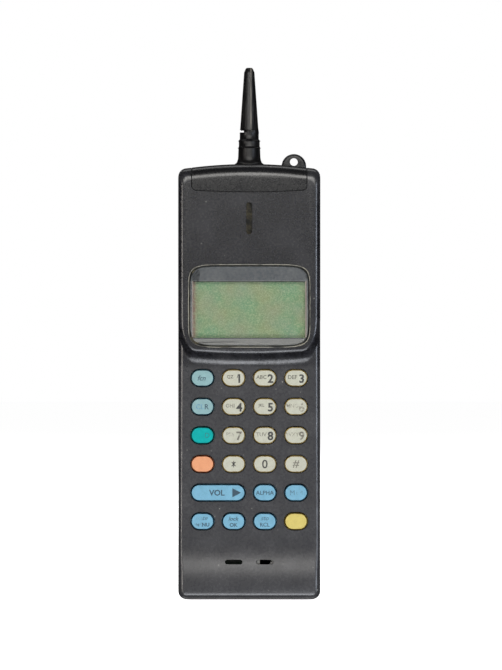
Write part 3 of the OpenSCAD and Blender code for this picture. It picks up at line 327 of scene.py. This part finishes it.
window = dressed("display_window", "display_lens", acrylic)
window.data.materials.append(worn_edge)
window.data.materials.append(ink_painted_light_and_shade)
bm = bmesh.new()
bm.from_mesh(window.data)
face_front = min(bm.faces, key=lambda f: f.calc_center_median().y)
edge_line_mm = 0.26
rim = bmesh.ops.inset_region(bm, faces=[face_front], thickness=edge_line_mm * MM, use_even_offset=True)
for face in rim["faces"]:
    face.material_index = 1
for face in bm.faces:
    if abs(face.normal.y) < 0.5:
        face.material_index = 1
bm.to_mesh(window.data)
bm.free()

# The mask is a film with a rectangular opening, printed just behind the window.
bm = bmesh.new()
bm.from_mesh(nodes["display_window"].data)
bmesh.ops.remove_doubles(bm, verts=bm.verts, dist=0.002 * MM)
bmesh.ops.dissolve_limit(bm, angle_limit=math.radians(0.4), verts=bm.verts, edges=bm.edges)
face_back = max(bm.faces, key=lambda f: f.calc_center_median().y)
bmesh.ops.delete(bm, geom=[f for f in bm.faces if f is not face_back], context="FACES")
hide_side, hide_foot, hide_head = 0.8 * MM, 1.45 * MM, 1.1 * MM
mask_gap, mask_film = 0.05 * MM, 0.05 * MM
for spot, facing in (
    ((lcd_lo.x + hide_side, 0, 0), (1, 0, 0)), ((lcd_hi.x - hide_side, 0, 0), (1, 0, 0)),
    ((0, 0, lcd_lo.z + hide_foot), (0, 0, 1)), ((0, 0, lcd_hi.z - hide_head), (0, 0, 1)),
):
    bmesh.ops.bisect_plane(bm, geom=bm.verts[:] + bm.edges[:] + bm.faces[:],
                           plane_co=spot, plane_no=facing)
middle = Vector(((lcd_lo.x + lcd_hi.x) / 2, 0.0, (lcd_lo.z + lcd_hi.z) / 2))
inner = min(bm.faces, key=lambda f: ((f.calc_center_median() - middle) * Vector((1, 0, 1))).length)
# At the top and bottom of the opening, a grey line 0.2 mm wide is a painted highlight on the opening's
# edge, and a black border 0.45 mm wide inside it is painted shadow of the gap over the glass. At the
# sides both rings are faded pink ink.
for border_mm, level_tone in ((0.2, 3), (0.45, 1)):
    for face in bmesh.ops.inset_region(bm, faces=[inner], thickness=border_mm * MM)["faces"]:
        upright = abs(face.calc_center_median().x - middle.x) > (lcd_hi.x - lcd_lo.x) / 4
        face.material_index = 2 if upright else level_tone
bmesh.ops.delete(bm, geom=[inner], context="FACES")
bmesh.ops.translate(bm, verts=bm.verts, vec=(0, mask_gap, 0))
bmesh.ops.solidify(bm, geom=bm.faces[:], thickness=mask_film)
for face in bm.faces:
    face.smooth = False
set_piece(bm, "window_mask", [
    ink_painted_light_and_shade,
    plain_finish("black_border_painted_shadow", "20211e", "2b2c28", 0.8, 0.5),
    plain_finish("faded_pink_ink_border", "84786f", "94877d", 0.8, 0.5),
    plain_finish("grey_line_painted_highlight", "6f7476", "84898a", 0.8, 0.5),
], "phone")

# Earpiece: a small moving-coil capsule behind a felt dust guard. The felt shows in
# the slot, and it has gathered brown dirt.
felt, tree, place = start_finish("dirty_pressed_felt")
tuft = add_node(tree, "TexNoise", {"Vector": place, "Scale": 1 / (0.7 * MM), "Detail": 4.0}).outputs[0]
dirt = add_node(tree, "TexNoise", {"Vector": place, "Scale": 1 / (3 * MM), "Detail": 3.0}).outputs[0]
dirt = add_node(tree, "MapRange", {0: dirt, 1: 0.4, 2: 0.62}).outputs[0]
fluff = add_node(tree, "MapRange", {0: tuft, 1: 0.35, 2: 0.7}).outputs[0]
wool = add_node(tree, "Mix", {
    0: fluff, 6: linear("24221e"), 7: linear("5c5540"),
}, data_type="RGBA").outputs[2]
wool = add_node(tree, "Mix", {0: dirt, 6: linear("1c1b19"), 7: wool}, data_type="RGBA").outputs[2]
lint = add_node(tree, "Bump", {"Height": tuft, "Strength": 0.7, "Distance": 0.1 * MM}).outputs[0]
end_finish(tree, {"Base Color": wool, "Roughness": 0.95, "Sheen Weight": 0.3, "Normal": lint})
paint_node("earpiece_felt", felt)
paint_node("earpiece", plain_finish("moulded_capsule_shell", "1d1d1f", "29292b", 0.8, 0.5))

# Microphone: an electret capsule in a silicone boot that fills the right-hand slot
# of the chin.
paint_node("microphone", plain_finish("blackened_aluminium_can", "0b0b0b", "141414", 0.5, 0.6))
boot_grey = plain_finish("grey_silicone", "5c5c59", "74736e", 0.6, 0.6)
dressed("microphone_boot", "microphone_sleeve", boot_grey, edge_mm=0.1)

# Keys: silicone rubber with a flange under the front cover, over carbon domes on the mat. Their sides
# are darker than their tops:
# skin grease has browned them, and the darker tone is also painted shade in the gap round each key.
# Thumbs have worn the print.
paint_node("keypad_mat", plain_finish("carbon_dotted_silicone", "2b2a29", "363533", 0.8, 0.6))
key_lip = 0.9 * MM
key_edge = 0.6 * MM
key_crown, crown_inset, flange_thick = 0.06 * MM, 0.8 * MM, 0.8 * MM
flange_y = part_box("key_5")[1].y - flange_thick


def silicone(name, pale, deep, grease):
    """Moulded silicone: soft sheen, even colour with faint cloudy grime."""
    finish, tree, place = start_finish(name)
    mottle_mm, dot_mm = 2.2, 0.45
    mottle = add_node(tree, "TexNoise", {
        "Vector": place, "Scale": 1 / (mottle_mm * MM), "Detail": 4.0,
    }).outputs[0]
    spread = add_node(tree, "MapRange", {0: mottle, 1: 0.3, 2: 0.7}).outputs[0]
    colour = add_node(tree, "Mix", {
        0: spread, 6: linear(deep), 7: linear(pale),
    }, data_type="RGBA").outputs[2]
    # Grime sits as fine dots.
    dots = add_node(tree, "TexNoise", {
        "Vector": place, "Scale": 1 / (dot_mm * MM), "Detail": 2.0,
    }).outputs[0]
    grime = add_node(tree, "MapRange", {0: dots, 1: 0.5, 2: 0.75, 3: 0.0, 4: 0.35}).outputs[0]
    colour = add_node(tree, "Mix", {
        0: grime, 6: colour, 7: linear(grease),
    }, data_type="RGBA").outputs[2]
    soft = add_node(tree, "Bump", {"Height": dots, "Strength": 0.15, "Distance": 0.02 * MM}).outputs[0]
    end_finish(tree, {
        "Base Color": colour, "Roughness": 0.6, "IOR": 1.4, "Specular IOR Level": 0.2, "Normal": soft,
    })
    return finish


def rubber_key(node, top, side):
    """A stadium-shaped key with a rounded rim, a faint crown and its flange."""
    lo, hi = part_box(node)
    radius = (hi.z - lo.z) / 2 - key_lip
    half_run = (hi.x - lo.x) / 2 - key_lip - radius
    middle = Vector(((lo.x + hi.x) / 2, lo.y, (lo.z + hi.z) / 2))
    segments = 44
    stand = Matrix.Rotation(math.pi / 2, 4, "X") @ Matrix.Rotation(math.pi / segments, 4, "Z")
    bm = bmesh.new()
    bmesh.ops.create_circle(bm, cap_ends=True, segments=segments, radius=radius, matrix=stand)
    right = [v for v in bm.verts if v.co.x > 0]
    left = [v for v in bm.verts if v.co.x < 0]
    bmesh.ops.translate(bm, verts=right, vec=(half_run, 0, 0))
    bmesh.ops.translate(bm, verts=left, vec=(-half_run, 0, 0))
    rim = bm.edges[:]
    ring = rim
    for deeper, wider in ((flange_y - lo.y, 0.0), (0.0, key_lip), (hi.y - flange_y, 0.0)):
        grown = bmesh.ops.extrude_edge_only(bm, edges=ring)["geom"]
        verts = [g for g in grown if isinstance(g, bmesh.types.BMVert)]
        ring = [g for g in grown if isinstance(g, bmesh.types.BMEdge)]
        bmesh.ops.translate(bm, verts=verts, vec=(0, deeper, 0))
        if wider:
            grow = (radius + wider) / radius
            for end in (half_run, -half_run):
                bmesh.ops.scale(bm, verts=[v for v in verts if v.co.x * end > 0],
                                vec=(grow, 1, grow), space=Matrix.Translation((-end, 0, 0)))
    bmesh.ops.contextual_create(bm, geom=ring)
    bmesh.ops.recalc_face_normals(bm, faces=bm.faces)
    bmesh.ops.bevel(bm, geom=rim, offset=key_edge, offset_type="OFFSET", segments=4, profile=0.5,
                    affect="EDGES", material=-1)
    cap = min(bm.faces, key=lambda f: (round(f.calc_center_median().y, 7), -f.calc_area()))
    bmesh.ops.inset_region(bm, faces=[cap], thickness=crown_inset, use_even_offset=True)
    bmesh.ops.translate(bm, verts=cap.verts[:], vec=(0, -key_crown, 0))
    # Faces turned away from the front, the sides and the outer rim, take the darker side finish: grease
    # stain and painted shade of the gap.
    for face in bm.faces:
        face.smooth = True
        face.material_index = 1 if face.normal.y > -0.85 else 0
    for edge in bm.edges:
        edge.smooth = edge.calc_face_angle(math.pi) < math.radians(40)
    bmesh.ops.translate(bm, verts=bm.verts, vec=middle)
    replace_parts(set_piece(bm, node + "_rubber", [top, side], node), node)


cream = silicone("cream_silicone_moulded", "c8c8b8", "bfbfae", "a59f88")
grey_blue = silicone("grey_blue_silicone_moulded", "93b7b9", "8aacae", "769598")
blue = silicone("blue_silicone_moulded", "80b6cf", "76aac2", "668fa3")
teal = silicone("teal_silicone_moulded", "04b0ad", "04a4a1", "048c8b")
salmon = silicone("salmon_silicone_moulded", "eba77d", "e39d74", "c98864")
yellow = silicone("yellow_silicone_moulded", "dac976", "d2c06d", "b8a65f")
cream_side_grease_and_shade = silicone("cream_side_grease_and_painted_shade", "9c8348", "7d6731", "443819")
salmon_side_grease_and_shade = silicone("salmon_side_grease_and_painted_shade", "7c3d22", "67301a", "3b1c10")
yellow_side_grease_and_shade = silicone("yellow_side_grease_and_painted_shade", "6f5a1e", "5a4817", "33290e")
blue_side_grime_and_shade = silicone("blue_side_grime_and_painted_shade", "17394b", "122d3c", "0b1a22")
teal_side_grime_and_shade = silicone("teal_side_grime_and_painted_shade", "04504f", "034140", "022524")

digit_keys = ["key_" + c for c in "1234567890"] + ["key_star", "key_hash"]
for node in digit_keys:
    rubber_key(node, cream, cream_side_grease_and_shade)
for node in ("key_function", "key_clear"):
    rubber_key(node, grey_blue, blue_side_grime_and_shade)
for node in ("key_volume", "key_alpha", "key_store", "key_menu", "key_ok", "key_recall"):
    rubber_key(node, blue, blue_side_grime_and_shade)
rubber_key("key_call", teal, teal_side_grime_and_shade)
rubber_key("key_end", salmon, salmon_side_grease_and_shade)
rubber_key("key_power", yellow, yellow_side_grease_and_shade)

# Key print: letters and digits pad-printed in dark grey ink on the crown of each
# key. The ink is only a film, and rubbing has broken or thinned much of it.
ink_sink, ink_stand = 0.02 * MM, 0.015 * MM


def pad_print(name, ink, rubber, worn):
    """Pad-printing ink: flat dark grey, worn through to the rubber in flecks."""
    finish, tree, place = start_finish(name)
    fleck_mm = 0.9
    fleck = add_node(tree, "TexNoise", {
        "Vector": place, "Scale": 1 / (fleck_mm * MM), "Detail": 3.0,
    }).outputs[0]
    gone = add_node(tree, "MapRange", {0: fleck, 1: 0.62 - worn * 0.4, 2: 0.8 - worn * 0.4}).outputs[0]
    colour = add_node(tree, "Mix", {
        0: gone, 6: linear(ink), 7: linear(rubber),
    }, data_type="RGBA").outputs[2]
    end_finish(tree, {"Base Color": colour, "Roughness": 0.6})
    return finish


def print_run(bm, words, height, centre, layer, slant, weight):
    """Adds a run of printed letters, height tall and centred on a key face."""
    letters = bpy.data.curves.new("letters", "FONT")
    letters.body = words
    letters.shear = slant
    letters.offset = weight
    letters.resolution_u = 3
    letters.extrude = 0.5
    holder = bpy.data.objects.new("letters", letters)
    shape = bpy.data.meshes.new_from_object(holder)
    bpy.data.objects.remove(holder)
    bpy.data.curves.remove(letters)
    run = bmesh.new()
    run.from_mesh(shape)
    bmesh.ops.remove_doubles(run, verts=run.verts, dist=1e-5)
    xs = [v.co.x for v in run.verts]
    ys = [v.co.y for v in run.verts]
    size = height / (max(ys) - min(ys))
    bmesh.ops.translate(run, verts=run.verts, vec=(
        -(max(xs) + min(xs)) / 2, -(max(ys) + min(ys)) / 2, 0))
    bmesh.ops.scale(run, verts=run.verts, vec=(size, size, ink_sink + ink_stand))
    bmesh.ops.rotate(run, verts=run.verts, cent=(0, 0, 0), matrix=Matrix.Rotation(math.pi / 2, 3, "X"))
    bmesh.ops.translate(run, verts=run.verts, vec=centre + Vector((0, (ink_sink - ink_stand) / 2, 0)))
    for face in run.faces:
        face.material_index = layer
    run.to_mesh(shape)
    run.free()
    bm.from_mesh(shape)
    bpy.data.meshes.remove(shape)


def legend(node, runs, inks):
    """The print on one key. Each run is its words, their height, how far right and
    up of the key's middle they stand, their ink, slant and weight."""
    lo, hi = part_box(node)
    face = Vector(((lo.x + hi.x) / 2, lo.y - key_crown, (lo.z + hi.z) / 2))
    bm = bmesh.new()
    for words, height, right, up, layer, slant, weight in runs:
        print_run(bm, words, height * MM, face + Vector((right * MM, 0, up * MM)), layer, slant, weight)
    set_piece(bm, node + "_print", inks, node)


cream_inks = [
    pad_print("pad_ink_on_cream", "3b3a38", "c4c4b4", -0.3),
    pad_print("pad_ink_thinned_on_cream", "57544c", "c4c4b4", 0.0),
    pad_print("pad_ink_rubbed_on_cream", "716d62", "c4c4b4", 0.2),
    pad_print("pad_ink_nearly_gone_on_cream", "8f8b7c", "c4c4b4", 0.4),
]
blue_inks = [
    pad_print("pad_ink_on_blue", "2f4a5a", "7db2ca", -0.15),
    pad_print("pad_ink_rubbed_on_blue", "456a7e", "7db2ca", 0.1),
    pad_print("pad_ink_nearly_gone_on_blue", "5f8ca2", "7db2ca", 0.4),
]
digit_h, letter_h, bold, medium, italic = 3.5, 1.55, 0.028, 0.012, 0.3
for digit, letters, digit_ink, letter_ink in (
    ("1", "QZ", 0, 1), ("2", "ABC", 0, 1), ("3", "DEF", 0, 1),
    ("4", "GHI", 0, 2), ("5", "JKL", 0, 1), ("6", "MNO", 3, 3),
    ("7", "PRS", 2, 3), ("8", "TUV", 0, 2), ("9", "WXY", 2, 3),
):
    runs = [
        (digit, digit_h, 2.25, -0.2, digit_ink, 0.0, bold),
        (letters, letter_h, -1.4, 0.4, letter_ink, 0.0, medium),
    ]
    if digit == "1":
        runs.append(("/", 1.5, 1.6, 0.75, digit_ink, 0.0, bold))
    legend("key_" + digit, runs, cream_inks)
legend("key_star", [
    ("x", 1.75, 0.0, 0.0, 0, 0.0, medium), ("|", 2.7, 0.0, 0.0, 0, 0.0, medium),
], cream_inks)
legend("key_0", [("0", digit_h, 0.0, 0.0, 0, 0.0, medium)], cream_inks)
legend("key_hash", [("#", 3.0, 0.0, 0.0, 2, 0.15, medium)], cream_inks)
legend("key_function", [("fcn", 2.05, -0.3, 0.0, 0, italic, medium)], blue_inks)
legend("key_clear", [
    ("CL", 2.0, -1.0, 0.0, 2, 0.0, medium), ("R", 2.05, 1.75, 0.0, 0, 0.0, medium),
], blue_inks)
legend("key_alpha", [("ALPHA", 1.65, 0.0, 0.0, 0, 0.0, medium)], blue_inks)
legend("key_store", [
    ("M", 1.9, -1.5, 0.0, 1, 0.0, 0.0), ("EM", 1.5, 1.3, 0.0, 2, 0.0, 0.0),
], blue_inks)
legend("key_menu", [
    ("mu", 1.2, -1.1, 1.1, 2, italic, medium), ("te", 1.5, 1.1, 1.3, 1, italic, medium),
    ("ME", 1.55, -1.4, -1.3, 2, 0.0, medium), ("NU", 1.55, 1.3, -1.3, 0, 0.0, bold),
], blue_inks)
legend("key_ok", [
    ("lock", 1.65, 0.0, 1.1, 0, italic, medium), ("OK", 1.6, 0.0, -1.4, 0, 0.0, bold),
], blue_inks)
legend("key_recall", [
    ("sto", 1.5, 0.0, 1.2, 1, italic, medium), ("RCL", 1.6, 0.0, -1.3, 0, 0.0, medium),
], blue_inks)
teal_ink = pad_print("pad_ink_rubbed_on_teal", "067c7b", "04aaa7", 0.2)
legend("key_call", [("D", 2.0, 1.9, 0.0, 0, 0.0, medium)], [teal_ink])
legend("key_volume", [("VOL", 2.4, -0.5, 0.0, 0, 0.0, bold)], blue_inks)

# The arrow beside the word on the long key is a printed triangle.
arrow_w, arrow_h, arrow_x = 3.5 * MM, 3.6 * MM, 6.9 * MM
vol_lo, vol_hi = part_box("key_volume")
bm = bmesh.new()
bmesh.ops.create_circle(bm, cap_ends=True, segments=3, radius=1.0,
                        matrix=Matrix.Rotation(math.pi / 2, 4, "X"))
bmesh.ops.rotate(bm, verts=bm.verts, cent=(0, 0, 0), matrix=Matrix.Rotation(math.pi / 2, 3, "Y"))
bmesh.ops.scale(bm, verts=bm.verts, vec=(arrow_w / 1.5, 1, arrow_h / math.sqrt(3)))
drawn = bmesh.ops.extrude_face_region(bm, geom=bm.faces[:])["geom"]
bmesh.ops.translate(bm, verts=[g for g in drawn if isinstance(g, bmesh.types.BMVert)],
                    vec=(0, -ink_sink - ink_stand, 0))
bmesh.ops.recalc_face_normals(bm, faces=bm.faces)
bmesh.ops.translate(bm, verts=bm.verts, vec=(
    (vol_lo.x + vol_hi.x) / 2 + arrow_x, vol_lo.y - key_crown + ink_sink, (vol_lo.z + vol_hi.z) / 2))
set_piece(bm, "key_volume_arrow", [blue_inks[0]], "key_volume")

# Boards: two glass-fibre circuit boards with a green solder mask, the screening can
# and the filter of the radio, and the parts soldered to them.
solder_mask, tree, place = start_finish("glass_fibre_under_solder_mask")
# Copper tracks show through the mask as paler bands. Real tracks lie about track_mm
# apart; the wave repeats every 2 pi times that, so they are drawn coarser.
track_mm = 1.3
lanes = add_node(tree, "TexWave", {
    "Vector": place, "Scale": 1 / (20 * track_mm * MM), "Distortion": 3.0, "Detail": 1.0,
    "Detail Scale": 250.0,
}, bands_direction="Z").outputs[1]
lanes = add_node(tree, "MapRange", {0: lanes, 1: 0.55, 2: 0.65}).outputs[0]
mask_green = add_node(tree, "Mix", {
    0: lanes, 6: linear("0f2417"), 7: linear("1a3a23"),
}, data_type="RGBA").outputs[2]
end_finish(tree, {"Base Color": mask_green, "Roughness": 0.35})
paint_node("main_board", solder_mask)
paint_node("radio_board", solder_mask)
paint_node("logic_chips", plain_finish("moulded_epoxy", "1b1b1c", "252526", 0.4, 0.55))
black_nylon = plain_finish("glass_filled_nylon", "19191a", "232324", 0.5, 0.5)
paint_node("board_connector", black_nylon)
tinned = plain_finish("tinned_steel_sheet", "a7a8a6", "bbbcb9", 3.0, 0.32, metallic=1.0)
paint_node("rf_shield", tinned)
silvered = plain_finish("silvered_ceramic_block", "b7b6b0", "c8c7c1", 1.2, 0.4, metallic=1.0)
paint_node("duplex_filter", silvered)
paint_node("ringer", black_nylon)

# Antenna socket: a turned brass bush in the top of the rear cover, with the contact
# strip that carries the signal down to the radio board.
brass = plain_finish("turned_brass", "b08d4c", "c6a35f", 0.7, 0.3, metallic=1.0)
paint_node("antenna_socket", brass)
bronze = plain_finish("rolled_phosphor_bronze", "b0805a", "c4946b", 0.7, 0.32, metallic=1.0)
paint_node("antenna_contact", bronze)

# Rear cover: the other half of the case in the same charcoal ABS, with the strap
# eye on its top edge. Steel screws and the accessory connector are let into it.
rear_abs = moulded_abs("charcoal_abs_rear_moulding", "0f0f11", "222225", "29292c", 0.5, 0.4,
                       gloss=0.1)
rear = dressed("rear_cover", "rear_cover_skin", rear_abs, edge_mm=0.16)
# The strap eye thins towards its hole, so that it reads as a loop, not a plate.
eye_axis, eye_hole, eye_thin = Vector((18.1, 5.02, 176.32)) * MM, 1.6 * MM, 0.7 * MM
for vert in rear.data.vertices:
    reach = vert.co - eye_axis
    if abs(math.hypot(reach.x, reach.z) - eye_hole) < 0.05 * MM and abs(reach.y) < 2 * MM:
        vert.co.y -= math.copysign(eye_thin, reach.y)
zinc = plain_finish("zinc_plated_steel", "8d8f92", "a6a8aa", 0.4, 0.35, metallic=1.0)
paint_node("case_screws", zinc)
paint_node("system_connector", black_nylon)

# Battery latch: a ribbed ABS slide on a coil spring in the back of the rear cover,
# above the sprung contacts that meet the battery.
gold = plain_finish("gold_flashed_bronze", "bd9a50", "d0b06a", 0.6, 0.3, metallic=1.0)
paint_node("battery_contacts", gold)
latch_abs = moulded_abs("charcoal_abs_latch", "101012", "252528", "2c2c2f", 0.4, 0.4, gloss=0.1)
dressed("battery_latch", "battery_latch_slide", latch_abs, edge_mm=0.15)
spring_steel = plain_finish("drawn_spring_steel", "8e9092", "a5a7a9", 0.4, 0.3, metallic=1.0)
spring = dressed("latch_spring", "latch_coil", spring_steel)
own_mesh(spring)

# Battery pack: a deep ABS tray and its glued lid around two rows of flat cells, with
# plated terminals on its top edge. It hooks in at the foot and clips at the latch.
battery_abs = moulded_abs("charcoal_abs_battery_tray", "101012", "252528", "2c2c2f", 0.6, 0.4,
                          gloss=0.1)
dressed("battery_case", "battery_tray", battery_abs, edge_mm=0.2)
paint_node("battery_lid", plain_finish("black_abs_lid", "1c1c1d", "262627", 0.6, 0.5))
paint_node("battery_cells", plain_finish("shrink_wrapped_steel_can", "3f5f7c", "4b6d8c", 2.0, 0.3))
nickel = plain_finish("nickel_plated_brass", "b3aa92", "c7bea6", 0.5, 0.28, metallic=1.0)
paint_node("battery_terminals", nickel)

# Antenna: a wound copper radiator on a brass stud, overmoulded with a black rubber
# sleeve whose ringed neck has torn, over a rubber washer on the crown of the case.
rubber_scuffs_and_painted_highlight, tree, place = start_finish("overmoulded_rubber_scuffed_painted_highlight")
# Scuffs run along the sleeve.
scuff_w_mm, scuff_l_mm, pock_mm = 0.5, 10.0, 0.6
along = add_node(tree, "Mapping", {"Vector": place, "Scale": (
    1 / (scuff_w_mm * MM), 1 / (scuff_w_mm * MM), 1 / (scuff_l_mm * MM),
)}).outputs[0]
streak = add_node(tree, "TexNoise", {"Vector": along, "Scale": 1.0, "Detail": 3.0}).outputs[0]
scuff = add_node(tree, "MapRange", {0: streak, 1: 0.5, 2: 0.75, 3: 0.0, 4: 0.7}).outputs[0]
skin = add_node(tree, "Mix", {
    0: scuff, 6: linear("0b0b0c"), 7: linear("302f2f"),
}, data_type="RGBA").outputs[2]
# A painted highlight about 1 mm wide runs down the front of the sleeve, above the torn neck: a pale
# streak where the round sleeve would mirror a lamp.
spot_x, _, spot_z = add_node(tree, "SeparateXYZ", {0: place}).outputs
off = add_node(tree, "Math", {0: spot_x, 1: 0.7 * MM}, operation="SUBTRACT").outputs[0]
off = add_node(tree, "Math", {0: off}, operation="ABSOLUTE").outputs[0]
line = add_node(tree, "MapRange", {0: off, 1: 0.5 * MM, 2: 0.1 * MM}).outputs[0]
upper = add_node(tree, "MapRange", {0: spot_z, 1: 188 * MM, 2: 192 * MM}).outputs[0]
line = add_node(tree, "Math", {0: line, 1: upper}, operation="MULTIPLY").outputs[0]
line = add_node(tree, "Math", {0: line, 1: streak}, operation="MULTIPLY").outputs[0]
skin = add_node(tree, "Mix", {0: line, 6: skin, 7: linear("8a857c")}, data_type="RGBA").outputs[2]
pock = add_node(tree, "TexNoise", {
    "Vector": place, "Scale": 1 / (pock_mm * MM), "Detail": 2.0,
}).outputs[0]
dull = add_node(tree, "MapRange", {0: streak, 1: 0.3, 2: 0.7, 3: 0.3, 4: 0.45}).outputs[0]
dent = add_node(tree, "Bump", {"Height": pock, "Strength": 0.5, "Distance": 0.05 * MM}).outputs[0]
end_finish(tree, {
    "Base Color": skin, "Roughness": dull, "IOR": 1.52, "Specular IOR Level": 0.4, "Normal": dent,
})
sleeve = dressed("antenna_sleeve", "antenna_rubber_sleeve", rubber_scuffs_and_painted_highlight, smooth=40)
# The lips of the tear are ragged: their edges wander up and down and draw in.
split_low, split_high, ragged = 188.2 * MM, 189.2 * MM, 0.4 * MM
lip_slack, lip_wander = 0.05 * MM, 1.1 * MM
for vert in sleeve.data.vertices:
    if split_low - lip_slack < vert.co.z < split_high + lip_slack:
        drift = noise.noise(vert.co / lip_wander)
        vert.co.z += ragged * drift
        vert.co.x *= 1 - 0.06 * abs(drift)
dressed("antenna_washer", "antenna_foot_washer", rubber_scuffs_and_painted_highlight, edge_mm=0.1)
copper = plain_finish("enamelled_copper_wire", "a05f35", "b8734a", 0.4, 0.3, metallic=1.0)
paint_node("antenna_coil", copper)
paint_node("antenna_stud", brass)

# Studio: a lit white table, and a dim room with soft boxes at both sides, above and
# below in front, overhead, underneath and behind, so that edges catch narrow lights.
table_mesh = bpy.data.meshes.new("studio_table")
bm = bmesh.new()
bmesh.ops.create_circle(bm, cap_ends=True, segments=64, radius=4.0)
bm.to_mesh(table_mesh)
bm.free()
table = bpy.data.objects.new("studio_table", table_mesh)
bpy.context.scene.collection.objects.link(table)
lit_acrylic, tree, place = start_finish("opal_acrylic_lit_from_below")
cloud = add_node(tree, "TexNoise", {"Vector": place, "Scale": 2.0}).outputs[0]
white = add_node(tree, "Mix", {
    0: cloud, 6: linear("b8b8b8"), 7: linear("c0c0c0"),
}, data_type="RGBA").outputs[2]
end_finish(tree, {
    "Base Color": white, "Roughness": 0.7,
    "Emission Color": (1, 1, 1, 1), "Emission Strength": 0.97,
})
table_mesh.materials.append(lit_acrylic)
# The table is seen, and takes shadows, but throws no light of its own on the part.
table.visible_diffuse = False
table.visible_glossy = False
table.visible_shadow = False

room = bpy.data.worlds.new("studio_room")
room.use_nodes = True
tree = room.node_tree
tree.nodes.clear()
# The room is dim at the sides, paler round the camera and white where it is seen.
facing = add_node(tree, "SeparateXYZ", {0: add_node(tree, "TexCoord").outputs["Generated"]}).outputs[1]
dim = add_node(tree, "MapRange", {0: facing, 1: -0.5, 2: -0.95, 3: 0.02, 4: 0.12}).outputs[0]
seen = add_node(tree, "LightPath").outputs["Is Camera Ray"]
level = add_node(tree, "Mix", {0: seen, 2: dim, 3: 1.0}).outputs[0]
glow = add_node(tree, "Background", {"Color": (1, 1, 1, 1), "Strength": level})
add_node(tree, "OutputWorld", {"Surface": glow.outputs[0]})
bpy.context.scene.world = room

# Each soft box has its place and size in metres, its watts and its tint. The two
# fills behind light the back and flanks, but the part doesn't mirror them.
aim = Vector((0, 0, 0.1))
for name, spot, width, tall, watts, tint in (
    ("side_box_left", (-0.79, -0.82, 0.1), 0.24, 0.4, 2.2, "fff8f0"),
    ("side_box_right", (0.79, -0.82, 0.1), 0.24, 0.4, 2.4, "e4eeff"),
    ("top_box", (0.0, -1.18, 0.64), 1.1, 0.52, 9.0, "fffdf9"),
    ("low_box", (0.0, -1.13, -0.55), 1.1, 0.46, 8.4, "f6f9ff"),
    ("over_box", (0.0, 0.35, 1.2), 1.2, 0.4, 1.9, "ffffff"),
    ("under_box", (0.0, 0.3, -1.0), 1.2, 0.4, 2.0, "ffffff"),
    ("back_fill_left", (-0.85, 0.95, 0.7), 0.8, 0.6, 28.0, "ffffff"),
    ("back_fill_right", (0.85, 0.95, 0.7), 0.8, 0.6, 28.0, "ffffff"),
):
    lamp = bpy.data.lights.new(name, "AREA")
    lamp.shape = "RECTANGLE"
    lamp.size = width
    lamp.size_y = tall
    lamp.energy = watts
    lamp.color = linear(tint)[:3]
    box = bpy.data.objects.new(name, lamp)
    box.location = spot
    box.rotation_euler = (aim - Vector(spot)).to_track_quat("-Z", "Y").to_euler()
    box.visible_camera = False
    box.visible_glossy = not name.startswith("back_fill")
    bpy.context.scene.collection.objects.link(box)

# The camera stands square to the front, about level with the middle of its height.
lens = bpy.data.cameras.new("photo_camera")
lens.lens = 180.0
lens.sensor_width = 36.0
camera = bpy.data.objects.new("photo_camera", lens)
camera.location = (0.0007, -1.355, 0.1061)
camera.rotation_euler = (math.pi / 2, 0, 0)
bpy.context.scene.collection.objects.link(camera)
bpy.context.scene.camera = camera
bpy.context.scene.view_settings.view_transform = "Standard"
